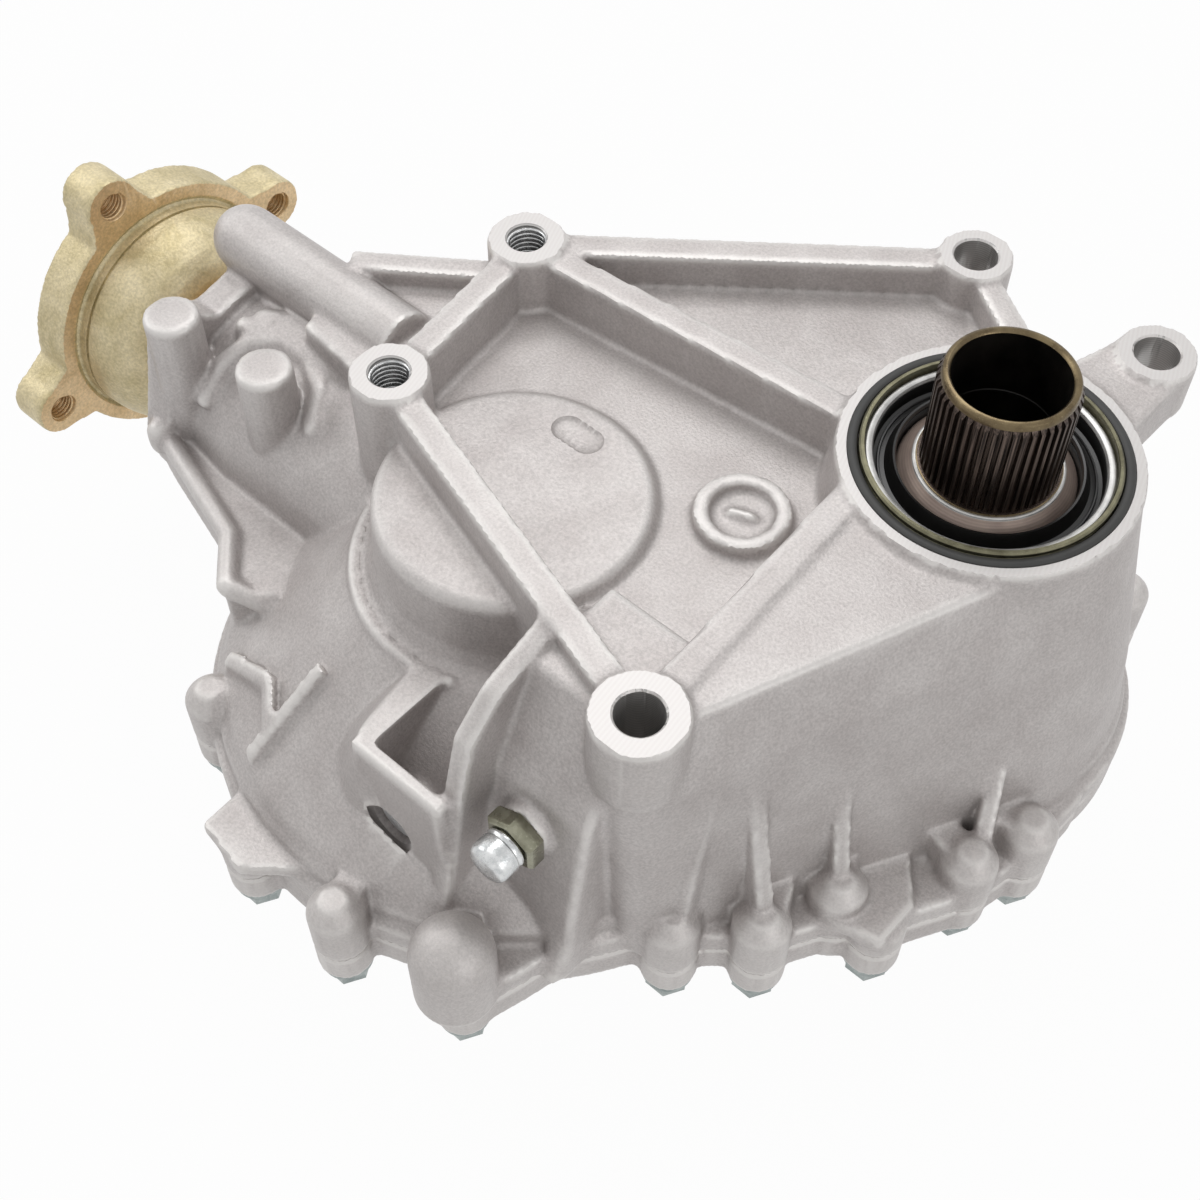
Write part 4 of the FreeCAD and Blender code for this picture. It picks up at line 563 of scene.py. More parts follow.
input_seat = lathe("input_seat", [
    (0, -171), (27.6, -171), (LOW_CUP_R, -169.4), (LOW_CUP_R, -162), (24, -162), (24, -161),
    (INPUT_CUP_R, -161), (INPUT_CUP_R, -139), (0, -139)], steps=120)
transfer_seat = lathe("transfer_seat", [
    (0, -164), (30, -164), (30, -161), (TRANSFER_CUP_R, -161), (TRANSFER_CUP_R, -139), (0, -139)],
    "Z", TRANSFER_AXIS)
drain_hole = lathe("drain_hole", [
    (0, -144.5), (11.5, -144.5), (11.5, -143.5), (7.03, -143.5), (7.03, -138), (0, -138)], "Z", DRAIN_AXIS,
    56)
bolt_holes = [lathe("bolt_hole", [
    (0, -130), (BOLT_SEAT_R, -130), (BOLT_SEAT_R, BOLT_SEAT_Z), (4.4, BOLT_SEAT_Z), (4.4, -110), (0, -110)],
    "Z", spot, 32) for spot in COVER_BOLT_PLACES]
machine(cover, [block("joint_mill", (-250, -250, JOINT_Z), (120, 120, -80)),
                block("foot_mill", (-250, -250, -190), (120, 120, HUB_FOOT_Z)),
                input_seat, transfer_seat, drain_hole, joined("bolt_holes", bolt_holes)])
cover.data.materials.clear()
for stuff in (sand_blasted, milled, bored):
    cover.data.materials.append(stuff)
mark_ridges(cover.data)
paint_machined(cover.data, [
    (1, lambda c, n: (c[:, 2] > JOINT_Z - 0.05) & (n[:, 2] > 0.9)),
    (1, lambda c, n: (c[:, 2] < HUB_FOOT_Z + 0.05) & (n[:, 2] < -0.9)),
    (1, any_of([bolt_seat(spot) for spot in COVER_BOLT_PLACES])),
    (2, any_of([round_hole((0, 0), LOW_CUP_R), round_hole((0, 0), INPUT_CUP_R),
                round_hole(TRANSFER_AXIS, TRANSFER_CUP_R)])),
])
shade_casting(cover.data)
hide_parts("rear_cover")
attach(cover, "casing")


# Cover bolts: M8 hexagon bolts with a pressed-on washer, zinc plated and blue passivated, driven
# from below through the cover into the casing's lugs.

def plated_metal(name, pale, dark, roughness, mottle, metallic=0.85, rubbed="#f2f1ee", grain=0.0):
    """Plated or finished metal whose tone wanders a little over patches of the size mottle (mm)."""
    stuff, tree, surface, place = blank_surface(name)
    patch = add(tree, "ShaderNodeTexNoise", {
        "Vector": place, "Scale": 1 / (mottle * MM), "Detail": 3.0, "Roughness": 0.6})
    tone = add(tree, "ShaderNodeMapRange", {
        "Value": patch.outputs["Fac"], "From Min": 0.32, "From Max": 0.68})
    base = add(tree, "ShaderNodeMix", {0: tone.outputs[0], 6: srgb(dark), 7: srgb(pale)}, data_type="RGBA")
    # crystals and fine scratches of 0.15 mm, drawn at 0.6 mm
    fine = add(tree, "ShaderNodeTexNoise", {"Vector": place, "Scale": 1 / (0.6 * MM), "Detail": 2.0})
    wear_and_painted_highlight = add(tree, "ShaderNodeMapRange", {
        "Value": fine.outputs["Fac"], "From Min": 0.62, "From Max": 0.8, "To Min": 0.0, "To Max": 0.35})
    seen_tone = add(tree, "ShaderNodeMix", {
        0: wear_and_painted_highlight.outputs[0], 6: base.outputs[2], 7: srgb(rubbed)}, data_type="RGBA")
    dull = add(tree, "ShaderNodeMapRange", {
        "Value": patch.outputs["Fac"], "From Min": 0.3, "From Max": 0.7, "To Min": roughness - 0.05,
        "To Max": roughness + 0.07})
    dents = add(tree, "ShaderNodeBump", {
        "Strength": 0.15 + grain, "Distance": 0.2 * MM, "Height": fine.outputs["Fac"]})
    feed(tree, surface, {"Base Color": seen_tone.outputs[2], "Metallic": metallic,
                         "Roughness": dull.outputs[0], "Normal": dents.outputs[0]})
    return stuff


def node_rule(name, inputs):
    """An empty Geometry Nodes tree with a geometry input, the named inputs and a geometry output."""
    tree = bpy.data.node_groups.new(name, "GeometryNodeTree")
    tree.interface.new_socket(name="Start", in_out="INPUT", socket_type="NodeSocketGeometry")
    for label, kind in inputs:
        tree.interface.new_socket(name=label, in_out="INPUT", socket_type="NodeSocket" + kind)
    tree.interface.new_socket(name="Result", in_out="OUTPUT", socket_type="NodeSocketGeometry")
    return tree, add(tree, "NodeGroupInput").outputs


def finish_rule(tree, geometry, surface):
    solid = add(tree, "GeometryNodeRealizeInstances", {0: geometry})
    dressed = add(tree, "GeometryNodeSetMaterial", {"Geometry": solid.outputs[0], "Material": surface})
    add(tree, "NodeGroupOutput", {0: dressed.outputs[0]})


def made_by_rule(name, start, tree, values):
    """Runs a node tree on a starting mesh with the given inputs and keeps the plain mesh."""
    thing = piece(name, start)
    rule = thing.modifiers.new("rule", "NODES")
    rule.node_group = tree
    for item in tree.interface.items_tree:
        if item.in_out == "INPUT" and item.name in values:
            rule[item.identifier] = values[item.name]
    return applied(thing)


def bolt_rule():
    """Places a washered hexagon bolt, head down, on every point of the starting mesh."""
    sizes = [(part + size, "Float") for part in ("Washer", "Head", "Shank")
             for size in (" radius", " height")]
    tree, given = node_rule("hexagon_bolts", sizes + [("Surface", "Material")])
    rods = {}
    for part, sides in (("Washer", 48), ("Head", 6), ("Shank", 32)):
        rods[part] = add(tree, "GeometryNodeMeshCone", {
            "Vertices": sides, "Radius Top": given[part + " radius"],
            "Radius Bottom": given[part + " radius"], "Depth": given[part + " height"]}).outputs["Mesh"]
    wide = add(tree, "ShaderNodeMath", {0: given["Head radius"], 1: 1.45}, operation="MULTIPLY")
    narrow = add(tree, "ShaderNodeMath", {0: given["Head radius"], 1: 0.88}, operation="MULTIPLY")
    chamfer = add(tree, "GeometryNodeMeshCone", {
        "Vertices": 48, "Radius Top": wide.outputs[0], "Radius Bottom": narrow.outputs[0],
        "Depth": given["Head height"]})
    rounded = add(tree, "GeometryNodeMeshBoolean", {
        "Mesh 2": [rods["Head"], chamfer.outputs["Mesh"]]}, operation="INTERSECT")
    rods["Head"] = rounded.outputs["Mesh"]
    pieces = []
    for part in ("Washer", "Head"):
        down = add(tree, "ShaderNodeMath", {0: given[part + " height"], 1: -1.0}, operation="MULTIPLY")
        drop = add(tree, "ShaderNodeCombineXYZ", {"Z": down.outputs[0]})
        lowered = add(tree, "GeometryNodeTransform", {"Geometry": rods[part], "Translation": drop.outputs[0]})
        pieces.append(lowered.outputs[0])
    shank = add(tree, "GeometryNodeTransform", {"Geometry": rods["Shank"], "Translation": (0, 0, -MM)})
    bolt = add(tree, "GeometryNodeJoinGeometry", {0: pieces + [shank.outputs[0]]})
    placed = add(tree, "GeometryNodeInstanceOnPoints", {
        "Points": given["Start"], "Instance": bolt.outputs[0]})
    finish_rule(tree, placed.outputs[0], given["Surface"])
    return tree


def points(name, spots):
    mesh = bpy.data.meshes.new(name)
    mesh.from_pydata([[c * MM for c in spot] for spot in spots], [], [])
    return mesh


# blue-passivated zinc: a cool, slightly green silver with soft reflections, set darker than the zinc's own
# tone as painted shade for the heads in shadow under the lugs
blue_zinc = plated_metal("blue_passivated_zinc", "#a9b0ae", "#7b8584", 0.34, 5.0)
HEXAGON_BOLTS = bolt_rule()
bolt_seats = points("bolt_seats", [(x, y, BOLT_SEAT_Z) for x, y in COVER_BOLT_PLACES])
cover_bolts = made_by_rule("cover_bolts_m8", bolt_seats, HEXAGON_BOLTS, {
    "Washer radius": 8.0 * MM, "Washer height": 1.8 * MM, "Head radius": 7.0 * MM, "Head height": 7.5 * MM,
    "Shank radius": 4.0 * MM, "Shank height": 23.0 * MM, "Surface": blue_zinc})
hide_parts("cover_bolts")
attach(cover_bolts, "casing")


# Thread inserts: coils of bright stainless wire wound into the two tapped bosses of the casing.
# They show in the photograph as sharp silver ridges with black between.

def thread_rule():
    """A ridge of diamond section wound along a helix."""
    tree, given = node_rule("wound_thread", [
        ("Radius", "Float"), ("Pitch", "Float"), ("Turns", "Float"), ("Ridge", "Float"),
        ("Surface", "Material")])
    height = add(tree, "ShaderNodeMath", {0: given["Pitch"], 1: given["Turns"]}, operation="MULTIPLY")
    helix = add(tree, "GeometryNodeCurveSpiral", {
        "Resolution": 36, "Rotations": given["Turns"], "Start Radius": given["Radius"],
        "End Radius": given["Radius"], "Height": height.outputs[0]})
    upright = add(tree, "GeometryNodeSetCurveNormal", {"Curve": helix.outputs[0]}, mode="Z_UP")
    section = add(tree, "GeometryNodeCurvePrimitiveCircle", {"Resolution": 4, "Radius": given["Ridge"]})
    ridge = add(tree, "GeometryNodeCurveToMesh", {
        "Curve": upright.outputs[0], "Profile Curve": section.outputs["Curve"], "Fill Caps": True})
    finish_rule(tree, ridge.outputs[0], given["Surface"])
    return tree


WOUND_THREAD = thread_rule()
# stainless wire: bright, cold and smooth
bright_wire = plated_metal("bright_stainless_wire", "#dcdcdc", "#b4b5b6", 0.22, 3.0)
for letter, spot in zip("ab", BOSSES_TAPPED):
    coil = made_by_rule("thread_insert_" + letter, points("coil_start", []), WOUND_THREAD,
                        {"Radius": 6.15 * MM, "Pitch": 1.75 * MM, "Turns": 12.0, "Ridge": 0.86 * MM,
                         "Surface": bright_wire})
    coil.data.transform(Matrix.Translation((spot[0] * MM, spot[1] * MM, -22.5 * MM)))
    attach(coil, "casing")


# Face seal: a moulded black rubber ring that stands 0.8 mm proud of its groove in the milled rim.
# It keeps the oil in where the casing bolts to the transmission.

def moulded_rubber(name, tint, dark, gloss):
    stuff, tree, surface, place = blank_surface(name)
    # bloom on the rubber in patches of 6 mm, and mould grain of 0.1 mm drawn at 0.5 mm
    bloom = add(tree, "ShaderNodeTexNoise", {"Vector": place, "Scale": 1 / (6 * MM), "Detail": 2.0})
    tone = add(tree, "ShaderNodeMix", {
        0: bloom.outputs["Fac"], 6: srgb(dark), 7: srgb(tint)}, data_type="RGBA")
    mould = add(tree, "ShaderNodeTexNoise", {"Vector": place, "Scale": 1 / (0.5 * MM)})
    dents = add(tree, "ShaderNodeBump", {
        "Strength": 0.2, "Distance": 0.1 * MM, "Height": mould.outputs["Fac"]})
    feed(tree, surface, {"Base Color": tone.outputs[2], "Roughness": gloss, "Normal": dents.outputs[0]})
    return stuff


def stand_in(name, mesh, node_name, slot, body, *surfaces):
    """Shows a finished piece in place of a CAD node."""
    thing = piece(name, mesh) if isinstance(mesh, bpy.types.Mesh) else mesh
    for surface in surfaces:
        thing.data.materials.append(surface)
    thing.data.shade_smooth()
    sharp_bend = math.radians(32)
    thing.data.set_sharp_from_angle(angle=sharp_bend)
    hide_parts(node_name)
    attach(thing, body)
    return thing


# nitrile rubber: dark grey, dull, with a faint bloom
seal_rubber = moulded_rubber("nitrile_rubber", "#3e3e3d", "#2d2d2c", 0.55)
stand_in("face_seal_ring", lathe("face_seal_ring", [
    (36.97, -2.97), (39.97, -2.97), (39.97, -0.2), (39.8, 0.35), (39.2, 0.75), (38.5, 0.8), (37.8, 0.75),
    (37.2, 0.4), (36.97, -0.2)], steps=180), "face_seal", "black_rubber", "casing", seal_rubber)


# Pilot ring: a turned steel ring, zinc plated and olive passivated, pressed into the casing. It
# centres the casing in the transmission and carries the input seal.

# olive-passivated zinc: a dull green-grey with a soft metallic sheen
olive_plate = plated_metal("olive_passivated_zinc", "#7a7762", "#5e5b49", 0.38, 4.0, rubbed="#b9b69c")
stand_in("pilot_ring_turned", lathe("pilot_ring_turned", [
    (35.0, 1.3), (35.2, 1.6), (36.1, 1.6), (36.6, 1.1), (36.6, 0.2), (36.35, 0.0), (36.35, -0.4),
    (36.6, -0.6), (36.6, -18), (32.0, -18), (32.0, -16.5), (35.0, -16.5)], steps=180), "pilot_ring",
    "olive_plate", "casing", olive_plate)


# Input seal: a drawn steel shell with a bright rim, and a black rubber lip with a dust lip and
# one rib, pressed into the pilot ring.

# drawn steel: bright silver where it is rubbed, grey between
drawn_steel = plated_metal("drawn_steel", "#d2d1cf", "#aeadab", 0.36, 6.0, metallic=0.6)
# oiled black rubber: near black with a wet shine
oiled_rubber = moulded_rubber("oiled_seal_rubber", "#1d1c1b", "#100f0f", 0.32)
stand_in("input_seal_shell_drawn", lathe("input_seal_shell_drawn", [
    (33.0, -2.3), (32.5, -2.1), (32.4, -1.6), (32.8, -0.9), (33.6, -0.55), (34.4, -0.65), (34.95, -1.2),
    (34.95, -13.0), (30.0, -13.0), (30.0, -12.0), (33.0, -12.0)], steps=180), "input_seal_shell",
    "ground_steel", "casing", drawn_steel)
stand_in("input_seal_lip_moulded", lathe("input_seal_lip_moulded", [
    (33.0, -12.0), (30.0, -12.0), (30.0, -13.0), (28.0, -13.0), (26.4, -9.5), (25.56, -7.6), (26.2, -6.6),
    (27.0, -6.04), (26.0, -4.2), (25.8, -3.4), (26.2, -2.6), (26.8, -2.5), (27.6, -4.2), (28.8, -6.4),
    (30.0, -6.6), (30.3, -6.1), (30.7, -6.1), (31.0, -6.6), (32.0, -6.2), (32.4, -5.0), (32.4, -2.3),
    (33.0, -2.2)], steps=180), "input_seal_lip", "black_rubber", "casing", oiled_rubber)


# Input shaft: forged, hardened and black-phosphated steel, hollow for the axle shaft, with 48 hobbed
# splines. The turned rim above the splines has gone olive brown, and the bore is coloured almost black.

def ring_rule():
    """Repeats the starting mesh evenly round the Z axis."""
    tree, given = node_rule("evenly_round", [("Count", "Int"), ("Surface", "Material")])
    spots = add(tree, "GeometryNodePoints", {"Count": given["Count"]})
    order = add(tree, "GeometryNodeInputIndex")
    share = add(tree, "ShaderNodeMath", {0: 2 * math.pi, 1: given["Count"]}, operation="DIVIDE")
    turn = add(tree, "ShaderNodeMath", {0: order.outputs[0], 1: share.outputs[0]}, operation="MULTIPLY")
    swing = add(tree, "ShaderNodeCombineXYZ", {"Z": turn.outputs[0]})
    placed = add(tree, "GeometryNodeInstanceOnPoints", {
        "Points": spots.outputs[0], "Instance": given["Start"], "Rotation": swing.outputs[0]})
    finish_rule(tree, placed.outputs[0], given["Surface"])
    return tree


def spline_tooth(root, tip, root_half, tip_half, low, top, run_out):
    """One straight-sided tooth on the +X side, chamfered at its upper end."""
    levels = [(low, tip, tip_half), (top - run_out, tip, tip_half), (top, root + 0.15, root_half)]
    verts = []
    for height, radius, half in levels:
        verts += [(root - 0.5, -root_half, height), (radius, -half, height), (radius, half, height),
                  (root - 0.5, root_half, height)]
    faces = [(3, 2, 1, 0), (8, 9, 10, 11)]
    for base in (0, 4):
        faces += [(base + k, base + (k + 1) % 4, base + 4 + (k + 1) % 4, base + 4 + k) for k in range(4)]
    mesh = bpy.data.meshes.new("spline_tooth")
    mesh.from_pydata([[c * MM for c in vert] for vert in verts], [], faces)
    return mesh


def phosphated_steel():
    """Black manganese phosphate on steel: brown-black, with streaks along the hobbed teeth."""
    stuff, tree, surface, place = blank_surface("phosphated_steel")
    # hobbing streaks 0.4 mm wide run along the shaft: the pattern is stretched 40 times in Z
    drawn = add(tree, "ShaderNodeMapping", {"Vector": place, "Scale": (1, 1, 0.025)})
    streak = add(tree, "ShaderNodeTexNoise", {
        "Vector": drawn.outputs[0], "Scale": 1 / (0.4 * MM), "Detail": 2.0})
    tone = add(tree, "ShaderNodeMapRange", {
        "Value": streak.outputs["Fac"], "From Min": 0.35, "From Max": 0.72})
    base = add(tree, "ShaderNodeMix", {
        0: tone.outputs[0], 6: srgb("#2a2421"), 7: srgb("#6b5d55")}, data_type="RGBA")
    dents = add(tree, "ShaderNodeBump", {
        "Strength": 0.25, "Distance": 0.1 * MM, "Height": streak.outputs["Fac"]})
    feed(tree, surface, {"Base Color": base.outputs[2], "Metallic": 0.85, "Roughness": 0.34,
                         "Normal": dents.outputs[0]})
    return stuff


EVENLY_ROUND = ring_rule()
black_phosphate = phosphated_steel()
# turned rim under a thin oxide: olive brown with a warm shine
oxide_brown = plated_metal("oxide_browned_steel", "#7c6e53", "#5c4f3b", 0.28, 5.0, rubbed="#b8a988")
# bore: coloured almost black, half dull
near_black_bore = plated_metal("near_black_bore_colour", "#17130f", "#0b0908", 0.42, 6.0, metallic=0.3,
                          rubbed="#2c2620")
tooth = spline_tooth(18.3, 19.5, 0.92, 0.50, -2.0, 29.8, 1.8)
teeth = made_by_rule("hobbed_splines", tooth, EVENLY_ROUND, {"Count": 48, "Surface": black_phosphate})
shaft_body = lathe("shaft_body", [
    (16.2, -161.5), (22, -161.5), (22, -160), (25, -160), (25, -141), (28, -141), (28, -119), (30, -119),
    (30, -44), (25, -44), (25, -25.6), (20, -25.6), (20, -2.5), (20.5, -2.5), (20.5, -2.1), (20.2, -2.0),
    (18.3, -2.0), (18.3, 29.2), (18.6, 29.6), (18.6, 30.6), (18.2, 31.4), (17.6, 31.75), (17.1, 31.8),
    (16.7, 31.6), (16.2, 30.8), (16.2, 9.4), (15.95, 9.1), (15.95, 8.6), (16.2, 8.3)], steps=192)
shaft = piece("input_shaft_splined", joined("input_shaft_splined", [shaft_body, teeth.data]))
bpy.data.objects.remove(teeth)
stand_in("input_shaft_splined", shaft, "input_shaft", "black_steel", "input_shaft_set", black_phosphate,
         oxide_brown, near_black_bore)
paint_machined(shaft.data, [
    (2, lambda c, n: within(c, (0, 0), 16.25) & (c[:, 2] < 31.0)),
    (1, lambda c, n: c[:, 2] > 29.85),
    (1, lambda c, n: (from_axis(c, (0, 0)) > 20.1) & (c[:, 2] > -2.6)),
])


# Seal sleeve: a turned and hardened steel collar on the shaft, brown from tempering, with a bright
# ground edge at the foot of the splines. The seal's lip runs on it.

def turned_steel(name, pale, dark, roughness, marks, axis="Z", metallic=0.85):
    """Lathe-turned metal: fine rings across the axis, marks apart (mm), and a slow change of tone."""
    stuff, tree, surface, place = blank_surface(name)
    rings = add(tree, "ShaderNodeTexWave", {
        "Vector": place, "Scale": WAVE / (marks * MM), "Distortion": 0.5}, wave_type="BANDS",
        bands_direction=axis)
    patch = add(tree, "ShaderNodeTexNoise", {"Vector": place, "Scale": 1 / (9 * MM), "Detail": 3.0})
    tone = add(tree, "ShaderNodeMapRange", {"Value": patch.outputs["Fac"], "From Min": 0.3, "From Max": 0.7})
    base = add(tree, "ShaderNodeMix", {0: tone.outputs[0], 6: srgb(dark), 7: srgb(pale)}, data_type="RGBA")
    line = add(tree, "ShaderNodeMapRange", {"Value": rings.outputs["Fac"], "To Min": 0.9, "To Max": 1.06})
    ringed = add(tree, "ShaderNodeMix", {0: 1.0, 6: base.outputs[2], 7: line.outputs[0]}, data_type="RGBA",
                 blend_type="MULTIPLY")
    cuts = add(tree, "ShaderNodeBump", {
        "Strength": 0.2, "Distance": 0.04 * MM, "Height": rings.outputs["Fac"]})
    feed(tree, surface, {"Base Color": ringed.outputs[2], "Metallic": metallic, "Roughness": roughness,
                         "Normal": cuts.outputs[0]})
    return stuff


# tempered steel: pinkish brown, satin, with turning rings of 0.3 mm drawn at 0.6 mm
tempered_brown = turned_steel("tempered_brown_steel", "#c0ada1", "#a6938a", 0.4, 0.6, metallic=0.4)
sleeve = stand_in("seal_sleeve_turned", lathe("seal_sleeve_turned", [
    (20.03, -2.5), (20.9, -2.5), (21.3, -2.75), (21.5, -3.2), (24.6, -6.1), (25.2, -6.7), (25.5, -7.6),
    (25.5, -25.6), (20.03, -25.6)], steps=180), "seal_sleeve", "brown_steel", "input_shaft_set",
    tempered_brown, drawn_steel)
paint_machined(sleeve.data, [(1, lambda c, n: (c[:, 2] > -3.2) & within(c, (0, 0), 21.5))])


# Output flange: a drop forging in steel with four lobes, zinc plated and yellow passivated. Its bell,
# rim and lobes keep the pebbled skin of the die, and the lobes' faces, bores and threads are cut.

def yellow_passivate(name, pale, dark, pebble, roughness):
    """Yellow-passivated zinc: straw gold that wanders to olive and pink, over a forged or cut skin."""
    stuff, tree, surface, place = blank_surface(name)
    # the passivate runs in clouds about 14 mm across
    cloud = add(tree, "ShaderNodeTexNoise", {
        "Vector": place, "Scale": 1 / (14 * MM), "Detail": 4.0, "Roughness": 0.6, "Distortion": 0.5})
    tone = add(tree, "ShaderNodeMapRange", {
        "Value": cloud.outputs["Fac"], "From Min": 0.32, "From Max": 0.68})
    base = add(tree, "ShaderNodeMix", {0: tone.outputs[0], 6: srgb(dark), 7: srgb(pale)}, data_type="RGBA")
    # scale pits of the forging are about 1 mm across
    pits = add(tree, "ShaderNodeTexNoise", {
        "Vector": place, "Scale": 1 / (1.0 * MM), "Detail": 2.0, "Roughness": 0.6})
    fleck = add(tree, "ShaderNodeMapRange", {
        "Value": pits.outputs["Fac"], "From Min": 0.35, "From Max": 0.68, "To Min": 0.86, "To Max": 1.12})
    flecked = add(tree, "ShaderNodeMix", {0: 1.0, 6: base.outputs[2], 7: fleck.outputs[0]}, data_type="RGBA",
                  blend_type="MULTIPLY")
    dents = add(tree, "ShaderNodeBump", {
        "Strength": pebble, "Distance": 0.3 * MM, "Height": pits.outputs["Fac"]})
    feed(tree, surface, {"Base Color": flecked.outputs[2], "Metallic": 0.55, "Roughness": roughness,
                         "Normal": dents.outputs[0]})
    return stuff


FLANGE_REAR, FLANGE_FRONT = -286.3, -300.8
FLANGE_BOLT_RING = 54.0
FLANGE_PHASE = 13.0
FLANGE_GRID = 0.8 * MM
FLANGE_FILLET_PASSES = 7
FLANGE_GROWTH = 0.25 * MM
FLANGE_KEEP = 0.4
FLANGE_DRILL_R = 4.95
forged_gold = yellow_passivate("yellow_zinc_on_forging", "#e0d3b0", "#bfb188", 0.55, 0.5)
cut_gold = yellow_passivate("yellow_zinc_on_cut_face", "#f0d5ab", "#d8bb8e", 0.12, 0.4)
flange = cast_skin("output_flange_forged", "output_flange", FLANGE_GRID, FLANGE_FILLET_PASSES,
                   FLANGE_GROWTH, FLANGE_KEEP)


def lobe_place(turn):
    return (PINION_AXIS[0] + FLANGE_BOLT_RING * math.cos(turn),
            PINION_AXIS[1] + FLANGE_BOLT_RING * math.sin(turn))


lobe_places = [lobe_place(math.radians(FLANGE_PHASE + 90 * k)) for k in range(4)]
front_face = lathe("front_face", [
    (0, -306), (80, -306), (80, FLANGE_FRONT), (32.0, FLANGE_FRONT), (32.0, -296.8), (19.0, -296.8),
    (19.0, -278.8), (13.03, -278.8), (13.03, -230), (0, -230)], "X", PINION_AXIS, 128)
rear_face = lathe("rear_face", [
    (42.4, FLANGE_REAR), (80, FLANGE_REAR), (80, -280), (42.4, -280)], "X", PINION_AXIS, 128)
lobe_drills = [lathe("lobe_drill", [
    (0, -302), (FLANGE_DRILL_R, -302), (FLANGE_DRILL_R, FLANGE_REAR - 0.6), (5.6, FLANGE_REAR + 0.5),
    (0, FLANGE_REAR + 0.5)], "X", spot, 40) for spot in lobe_places]
bead_groove = lathe("bead_groove", [
    (39.3, FLANGE_REAR + 3.4), (43, FLANGE_REAR + 3.4), (43, FLANGE_REAR + 4.6), (39.3, FLANGE_REAR + 4.6)],
    "X", PINION_AXIS, 128)
hub_turning = lathe("hub_turning", [
    (21.0, -258), (24, -258), (24, -230), (21.0, -230)], "X", PINION_AXIS, 128)
hub_end = lathe("hub_end", [(0, -233.0), (30, -233.0), (30, -225), (0, -225)], "X", PINION_AXIS, 64)
machine(flange, [front_face, rear_face, bead_groove, hub_turning, hub_end,
                 joined("lobe_drills", lobe_drills)])
flange.data.materials.clear()
for stuff in (forged_gold, cut_gold):
    flange.data.materials.append(stuff)
paint_machined(flange.data, [
    (1, lambda c, n: (c[:, 0] < FLANGE_REAR + 0.05) & (c[:, 0] > FLANGE_REAR - 0.05) & (n[:, 0] > 0.9)),
    (1, lambda c, n: (c[:, 0] < FLANGE_FRONT + 0.05) & (n[:, 0] < -0.9)),
    (1, any_of([round_hole(spot, FLANGE_DRILL_R, (1, 2)) for spot in lobe_places])),
    (1, lambda c, n: within(c, PINION_AXIS, 21.2, (1, 2)) & (c[:, 0] > -252)),
])
stand_in("output_flange_forged", flange, "output_flange", "yellow_zinc", "pinion_set")
for k, spot in enumerate(lobe_places):
    thread = made_by_rule("flange_thread_%d" % (k + 1), points("thread_start", []), WOUND_THREAD, {
        "Radius": 5.0 * MM, "Pitch": 1.5 * MM, "Turns": 8.6, "Ridge": 0.72 * MM, "Surface": cut_gold})
    thread.data.transform(Matrix.Translation((FLANGE_FRONT * MM + 0.8 * MM, spot[0] * MM, spot[1] * MM)) @
                          Matrix.Rotation(math.pi / 2, 4, "Y"))
    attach(thread, "pinion_set")


# Breather: a turned body with a hexagon, olive passivated, screwed into the casing's wall, and a
# drawn tin-plated cap that is crimped loosely over its barbed neck.

hexagon = lathe("hexagon", [
    (0, -159), (8.2, -159), (9.3, -158.2), (9.5, -157.8), (9.5, -153.9), (9.2, -153.3), (8.3, -153),
    (0, -153)], "Y", VENT_AXIS, 6)
stem = lathe("stem", [(0, -154), (4.0, -154), (4.0, -137), (0, -137)], "Y", VENT_AXIS, 48)
neck = lathe("neck", [(0, -158), (5.6, -158), (5.6, -159.15), (4.0, -159.25), (4.0, -162.0), (4.9, -162.2),
                      (4.9, -163.0), (3.4, -164.2), (1.5, -164.2), (1.5, -163), (0, -163)], "Y", VENT_AXIS,
             64)
# nickel-like olive passivate: grey-green, half bright on the flats
olive_nickel = plated_metal("olive_nickel_plate", "#9d9c8a", "#6d6c5b", 0.24, 6.0, rubbed="#d8d6c6")
stand_in("breather_body", joined("breather_body", [hexagon, stem, neck]), "vent_body", "olive_plate",
         "casing", olive_nickel)
# tin plate: pale silver, dull at its crimped edge and shiny on the dome
tin_plate = plated_metal("tin_plate", "#e3e4e4", "#b9bcbd", 0.26, 3.0, grain=0.1)
stand_in("breather_cap_drawn", lathe("breather_cap_drawn", [
    (4.3, -159.3), (6.0, -159.3), (6.55, -159.6), (6.6, -160.2), (6.25, -160.8), (6.2, -161.2),
    (6.6, -161.7), (6.6, -165.9), (6.35, -166.9), (5.8, -167.7), (4.9, -168.15), (3.0, -168.3), (0, -168.3),
    (0, -166.9), (5.2, -166.9), (5.2, -161.1), (4.3, -161.1)], "Y", VENT_AXIS, 96), "vent_cap",
    "silver_cap", "breather_cap", tin_plate)


# Filler plug: a black steel screw plug with a hexagon socket, sunk 3 mm in its hole. It closes the
# hole that the gearbox is filled with oil through.

socket_plug = piece("filler_plug_socket", lathe("filler_plug_socket", [
    (0, -165), (6.6, -165), (7.3, -164.4), (7.5, -163.9), (7.5, -153.4), (7.0, -153), (0, -153)], "Y",
    FILLER_AXIS, 64))
machine(socket_plug, [lathe("socket", [
    (0, -166), (4.05, -166), (3.75, -164.6), (3.75, -159.5), (0, -158.6)], "Y", FILLER_AXIS, 6)])
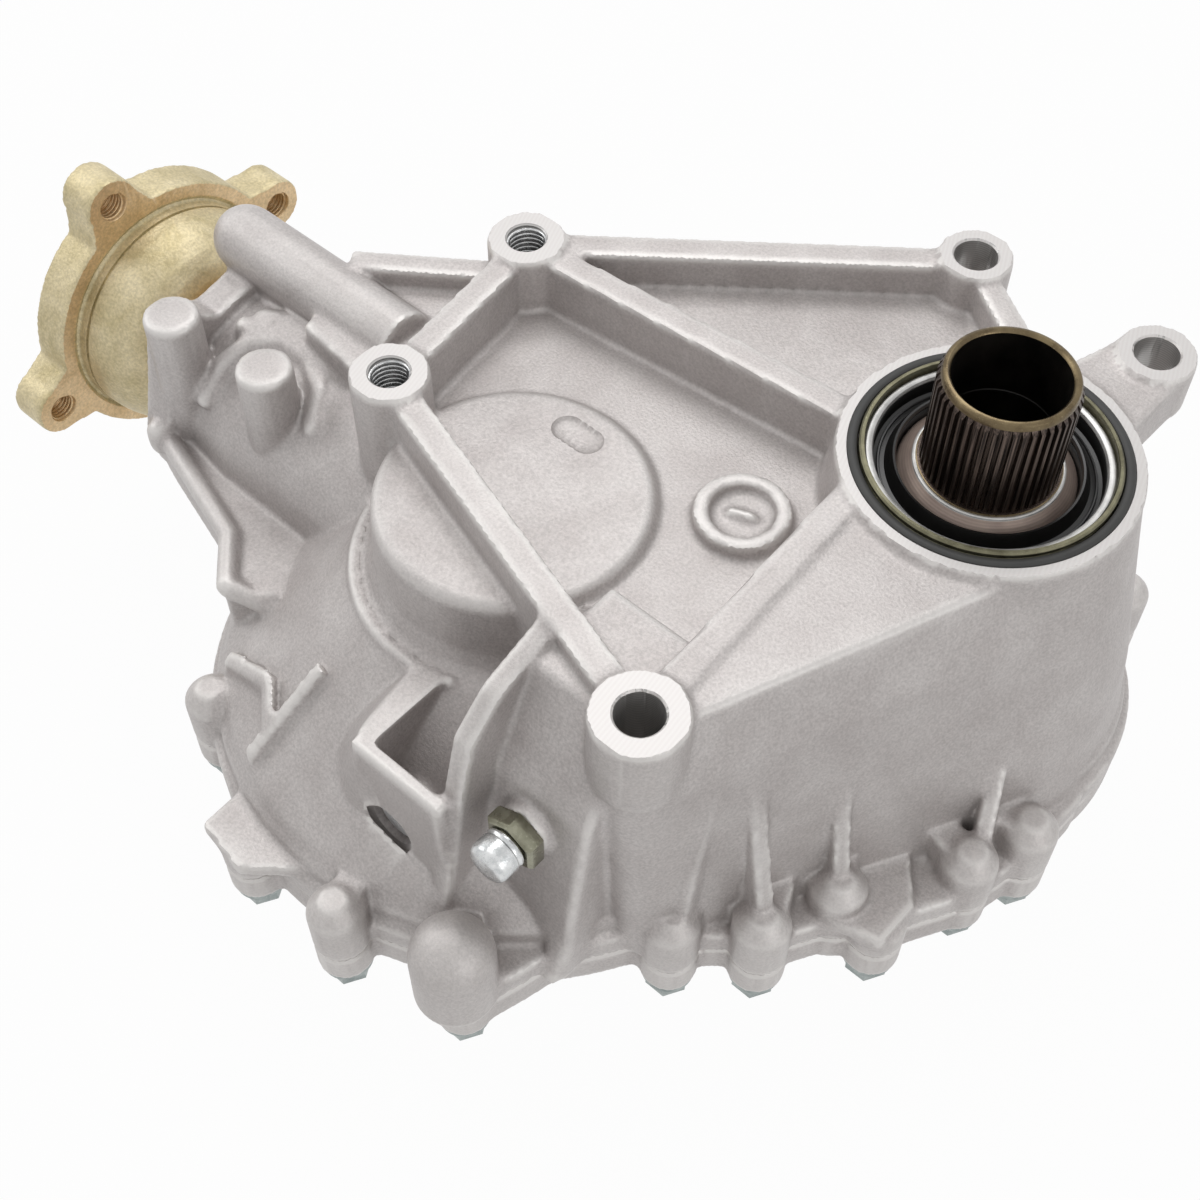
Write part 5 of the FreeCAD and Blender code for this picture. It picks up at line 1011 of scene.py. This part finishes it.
# burnished steel: blue-black, oily
burnished = plated_metal("burnished_black_steel", "#3a3836", "#211f1e", 0.3, 5.0, rubbed="#77736d")
stand_in("filler_plug_socket", socket_plug, "filler_plug", "black_steel", "casing", burnished)


# Hidden and half-hidden pieces: these keep their CAD shapes, each with the finish of its trade.
# Gears are hobbed and shot, bearings ground, small plated parts zinc coated, seals moulded.

# hobbed and case-hardened steel: grey, satin, cutter marks of 0.5 mm drawn at 1 mm
gear_steel = turned_steel("case_hardened_gear_steel", "#8b8a88", "#6e6d6c", 0.33, 1.0)
gear_steel_x = turned_steel("case_hardened_pinion_steel", "#8b8a88", "#6e6d6c", 0.33, 1.0, axis="X")
# ground bearing steel: bright and even, grinding rings of 0.1 mm drawn at 0.4 mm
ground_steel = turned_steel("ground_bearing_steel", "#cbccce", "#b4b6b8", 0.16, 0.4)
ground_steel_x = turned_steel("ground_bearing_steel_x", "#cbccce", "#b4b6b8", 0.16, 0.4, axis="X")
# annealed aluminium washer: pale and soft-looking
soft_aluminium = turned_steel("annealed_aluminium", "#e0e0df", "#cccccb", 0.4, 0.5)
FINISH_OF = {"dust_deflector": cut_gold, "transfer_shaft": gear_steel, "input_gear": gear_steel,
             "transfer_gear": gear_steel, "ring_gear": gear_steel, "pinion_shaft": gear_steel_x,
             "pinion_spacer": gear_steel_x, "pinion_shim": ground_steel_x, "ring_gear_bolts": burnished,
             "cover_dowels": ground_steel, "pinion_nut": blue_zinc, "pinion_washer": blue_zinc,
             "drain_plug": blue_zinc, "drain_washer": soft_aluminium, "axle_seal_shell": drawn_steel,
             "pinion_seal_shell": drawn_steel, "axle_seal_lip": oiled_rubber, "pinion_seal_lip": oiled_rubber}
for place, steel in (("input_top", ground_steel), ("input_low", ground_steel),
                     ("transfer_top", ground_steel), ("transfer_low", ground_steel),
                     ("pinion_head", ground_steel_x), ("pinion_tail", ground_steel_x)):
    for part in ("cup", "cone", "rollers"):
        FINISH_OF[place + "_bearing_" + part] = steel
for node_name, surface in FINISH_OF.items():
    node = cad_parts[node_name]
    node.data.materials.clear()
    node.data.materials.append(surface)
